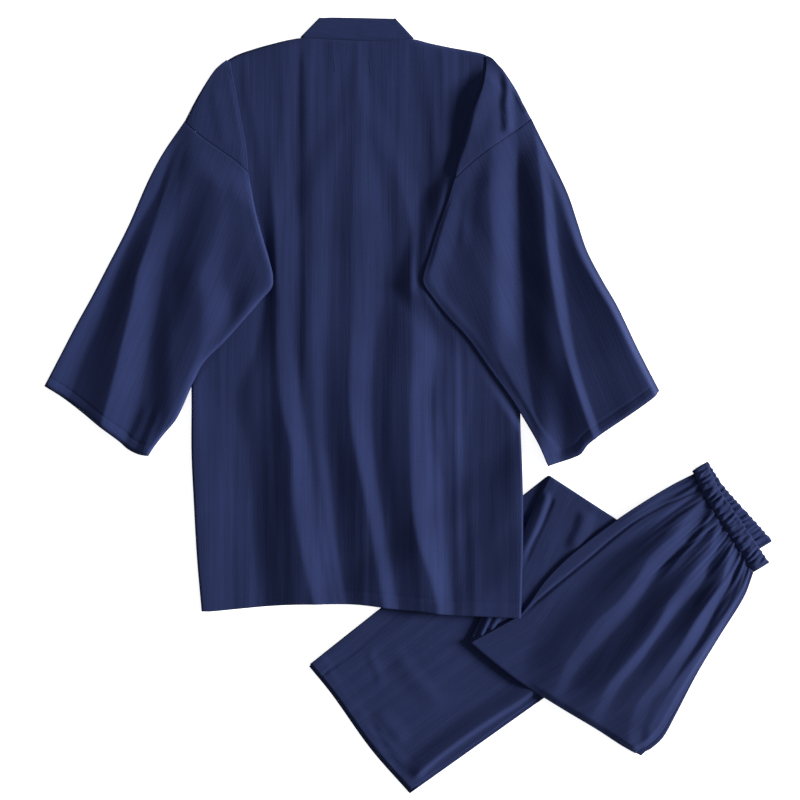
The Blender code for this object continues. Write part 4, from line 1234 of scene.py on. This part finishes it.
def gauze(name, shade):
    """Navy cotton double gauze with a fine slub along the grain."""
    material, tree, surface = surface_of(name)
    weave = node(tree, "ShaderNodeUVMap", {"uv_map": "weave"}, {})

    def streaks(across, along, detail):
        scale = (1.0 / (across * MM), 1.0 / (along * MM), 1.0)
        spot = node(tree, "ShaderNodeMapping", {}, {"Vector": weave, "Scale": scale})
        values = {"Vector": spot, "Scale": 1.0, "Detail": detail, "Roughness": 0.55}
        return node(tree, "ShaderNodeTexNoise", {"noise_dimensions": "2D"}, values)

    slub = streaks(2.3, 110.0, 3.0)
    band = streaks(8.0, 260.0, 2.0)
    crepe = streaks(1.3, 2.4, 2.0)
    blotch = streaks(60.0, 80.0, 2.0)
    shading = slub * 0.5 + band * 0.15 + crepe * 0.4 + blotch * 0.3
    values = {"Value": shading, "From Min": 0.4, "From Max": 0.95, "To Min": 0.0, "To Max": 1.0}
    share = node(tree, "ShaderNodeMapRange", {"clamp": True}, values)
    dark, light = ([value * shade for value in navy] + [1.0] for navy in (DARK_NAVY, LIGHT_NAVY))
    colour = node(tree, "ShaderNodeMix", {"data_type": "RGBA"}, {0: share, 6: dark, 7: light}, 2)
    height = slub * 0.5 + crepe * 0.35 + band * 0.3
    bump = node(tree, "ShaderNodeBump", {}, {"Height": height, "Strength": 0.4, "Distance": 0.0006})
    set_sockets(tree, surface, {"Base Color": colour, "Normal": bump} | COTTON)
    return material


def make_tacks(material):
    """Short rows of stitches below the neck, each stitch a small lying bead of thread."""
    thread = bmesh.new()
    weave = thread.loops.layers.uv.new("weave")
    left, right = (side_edge(BACK_SIDES[side], np.array(0.0))[0] for side in ("left", "right"))
    for top, bottom, count in TACKS:
        line = (np.array(bottom, float) - top) / count
        slant = math.atan2(line[0], -line[1])
        for step in range(count):
            x, y = np.array(top, float) + line * (step + 0.5)
            across, down = (x - left) / (right - left), (TACK_TOP - y) / JACKET_LENGTH
            height = back_base(np.array([across]), np.array([down]))[0][2] + GAUZE / 2
            half_sizes = (TACK_WIDTH / 2, TACK_SHARE * math.hypot(*line) / 2, TACK_HEIGHT / 2)
            place = Matrix.Translation((np.array((x, y, height)) + CENTRE) * MM)
            place = place @ Matrix.Rotation(slant + 0.2 * (step % 2), 4, "Z")
            place = place @ Matrix.Diagonal([size * MM for size in half_sizes] + [1.0])
            bmesh.ops.create_icosphere(thread, subdivisions=1, radius=1.0, matrix=place)
    for face in thread.faces:
        for loop in face.loops:
            loop[weave].uv = loop.vert.co.xy
    piece = add_piece("kimono_tacks", thread, material)
    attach(piece, "root")


def make_floor():
    """The pale surface that the set lies on."""
    material, tree, surface = surface_of("pale_floor")
    set_sockets(tree, surface, PALE)
    plane = bmesh.new()
    bmesh.ops.create_grid(plane, x_segments=1, y_segments=1, size=FLOOR_SIZE / 2)
    bmesh.ops.translate(plane, verts=plane.verts, vec=(0.0, 0.0, -FLOOR_GAP))
    add_piece("pale_floor", plane, material)


def light_and_camera():
    scene = bpy.context.scene
    scene.view_settings.view_transform = "Standard"
    world = bpy.data.worlds.new("studio")
    world.use_nodes = True
    background = world.node_tree.nodes["Background"]
    set_sockets(world.node_tree, background, {"Color": (1.0, 1.0, 1.0, 1.0), "Strength": SKY})
    scene.world = world
    light = bpy.data.lights.new("key", "SUN")
    light.energy = SUN_STRENGTH
    light.angle = math.radians(SUN_ANGLE)
    light.color = SUN_COLOUR
    lamp = add_object("key", light)
    lamp.rotation_euler = Vector(SUN_FROM).to_track_quat("Z", "Y").to_euler()
    camera = bpy.data.cameras.new("camera")
    camera.lens = LENS
    camera.sensor_width = SENSOR
    eye = add_object("camera", camera)
    eye.location = (*VIEW_CENTRE, VIEW_WIDTH * LENS / SENSOR)
    scene.camera = eye


def main():
    jacket = gauze("navy_gauze_jacket", 1.0)
    trousers = gauze("navy_gauze_trousers", 1.0)
    band = gauze("navy_gauze_bands", 1.06)
    back = make_back(jacket)
    for side in SLEEVES:
        front = make_front(side, jacket)
        sleeve = make_sleeve(side, jacket)
    collar = make_collar(band)
    for name in LEGS:
        leg = make_leg(name, trousers)
    waistband = make_waistband(band)
    make_tacks(band)
    make_floor()
    light_and_camera()


main()
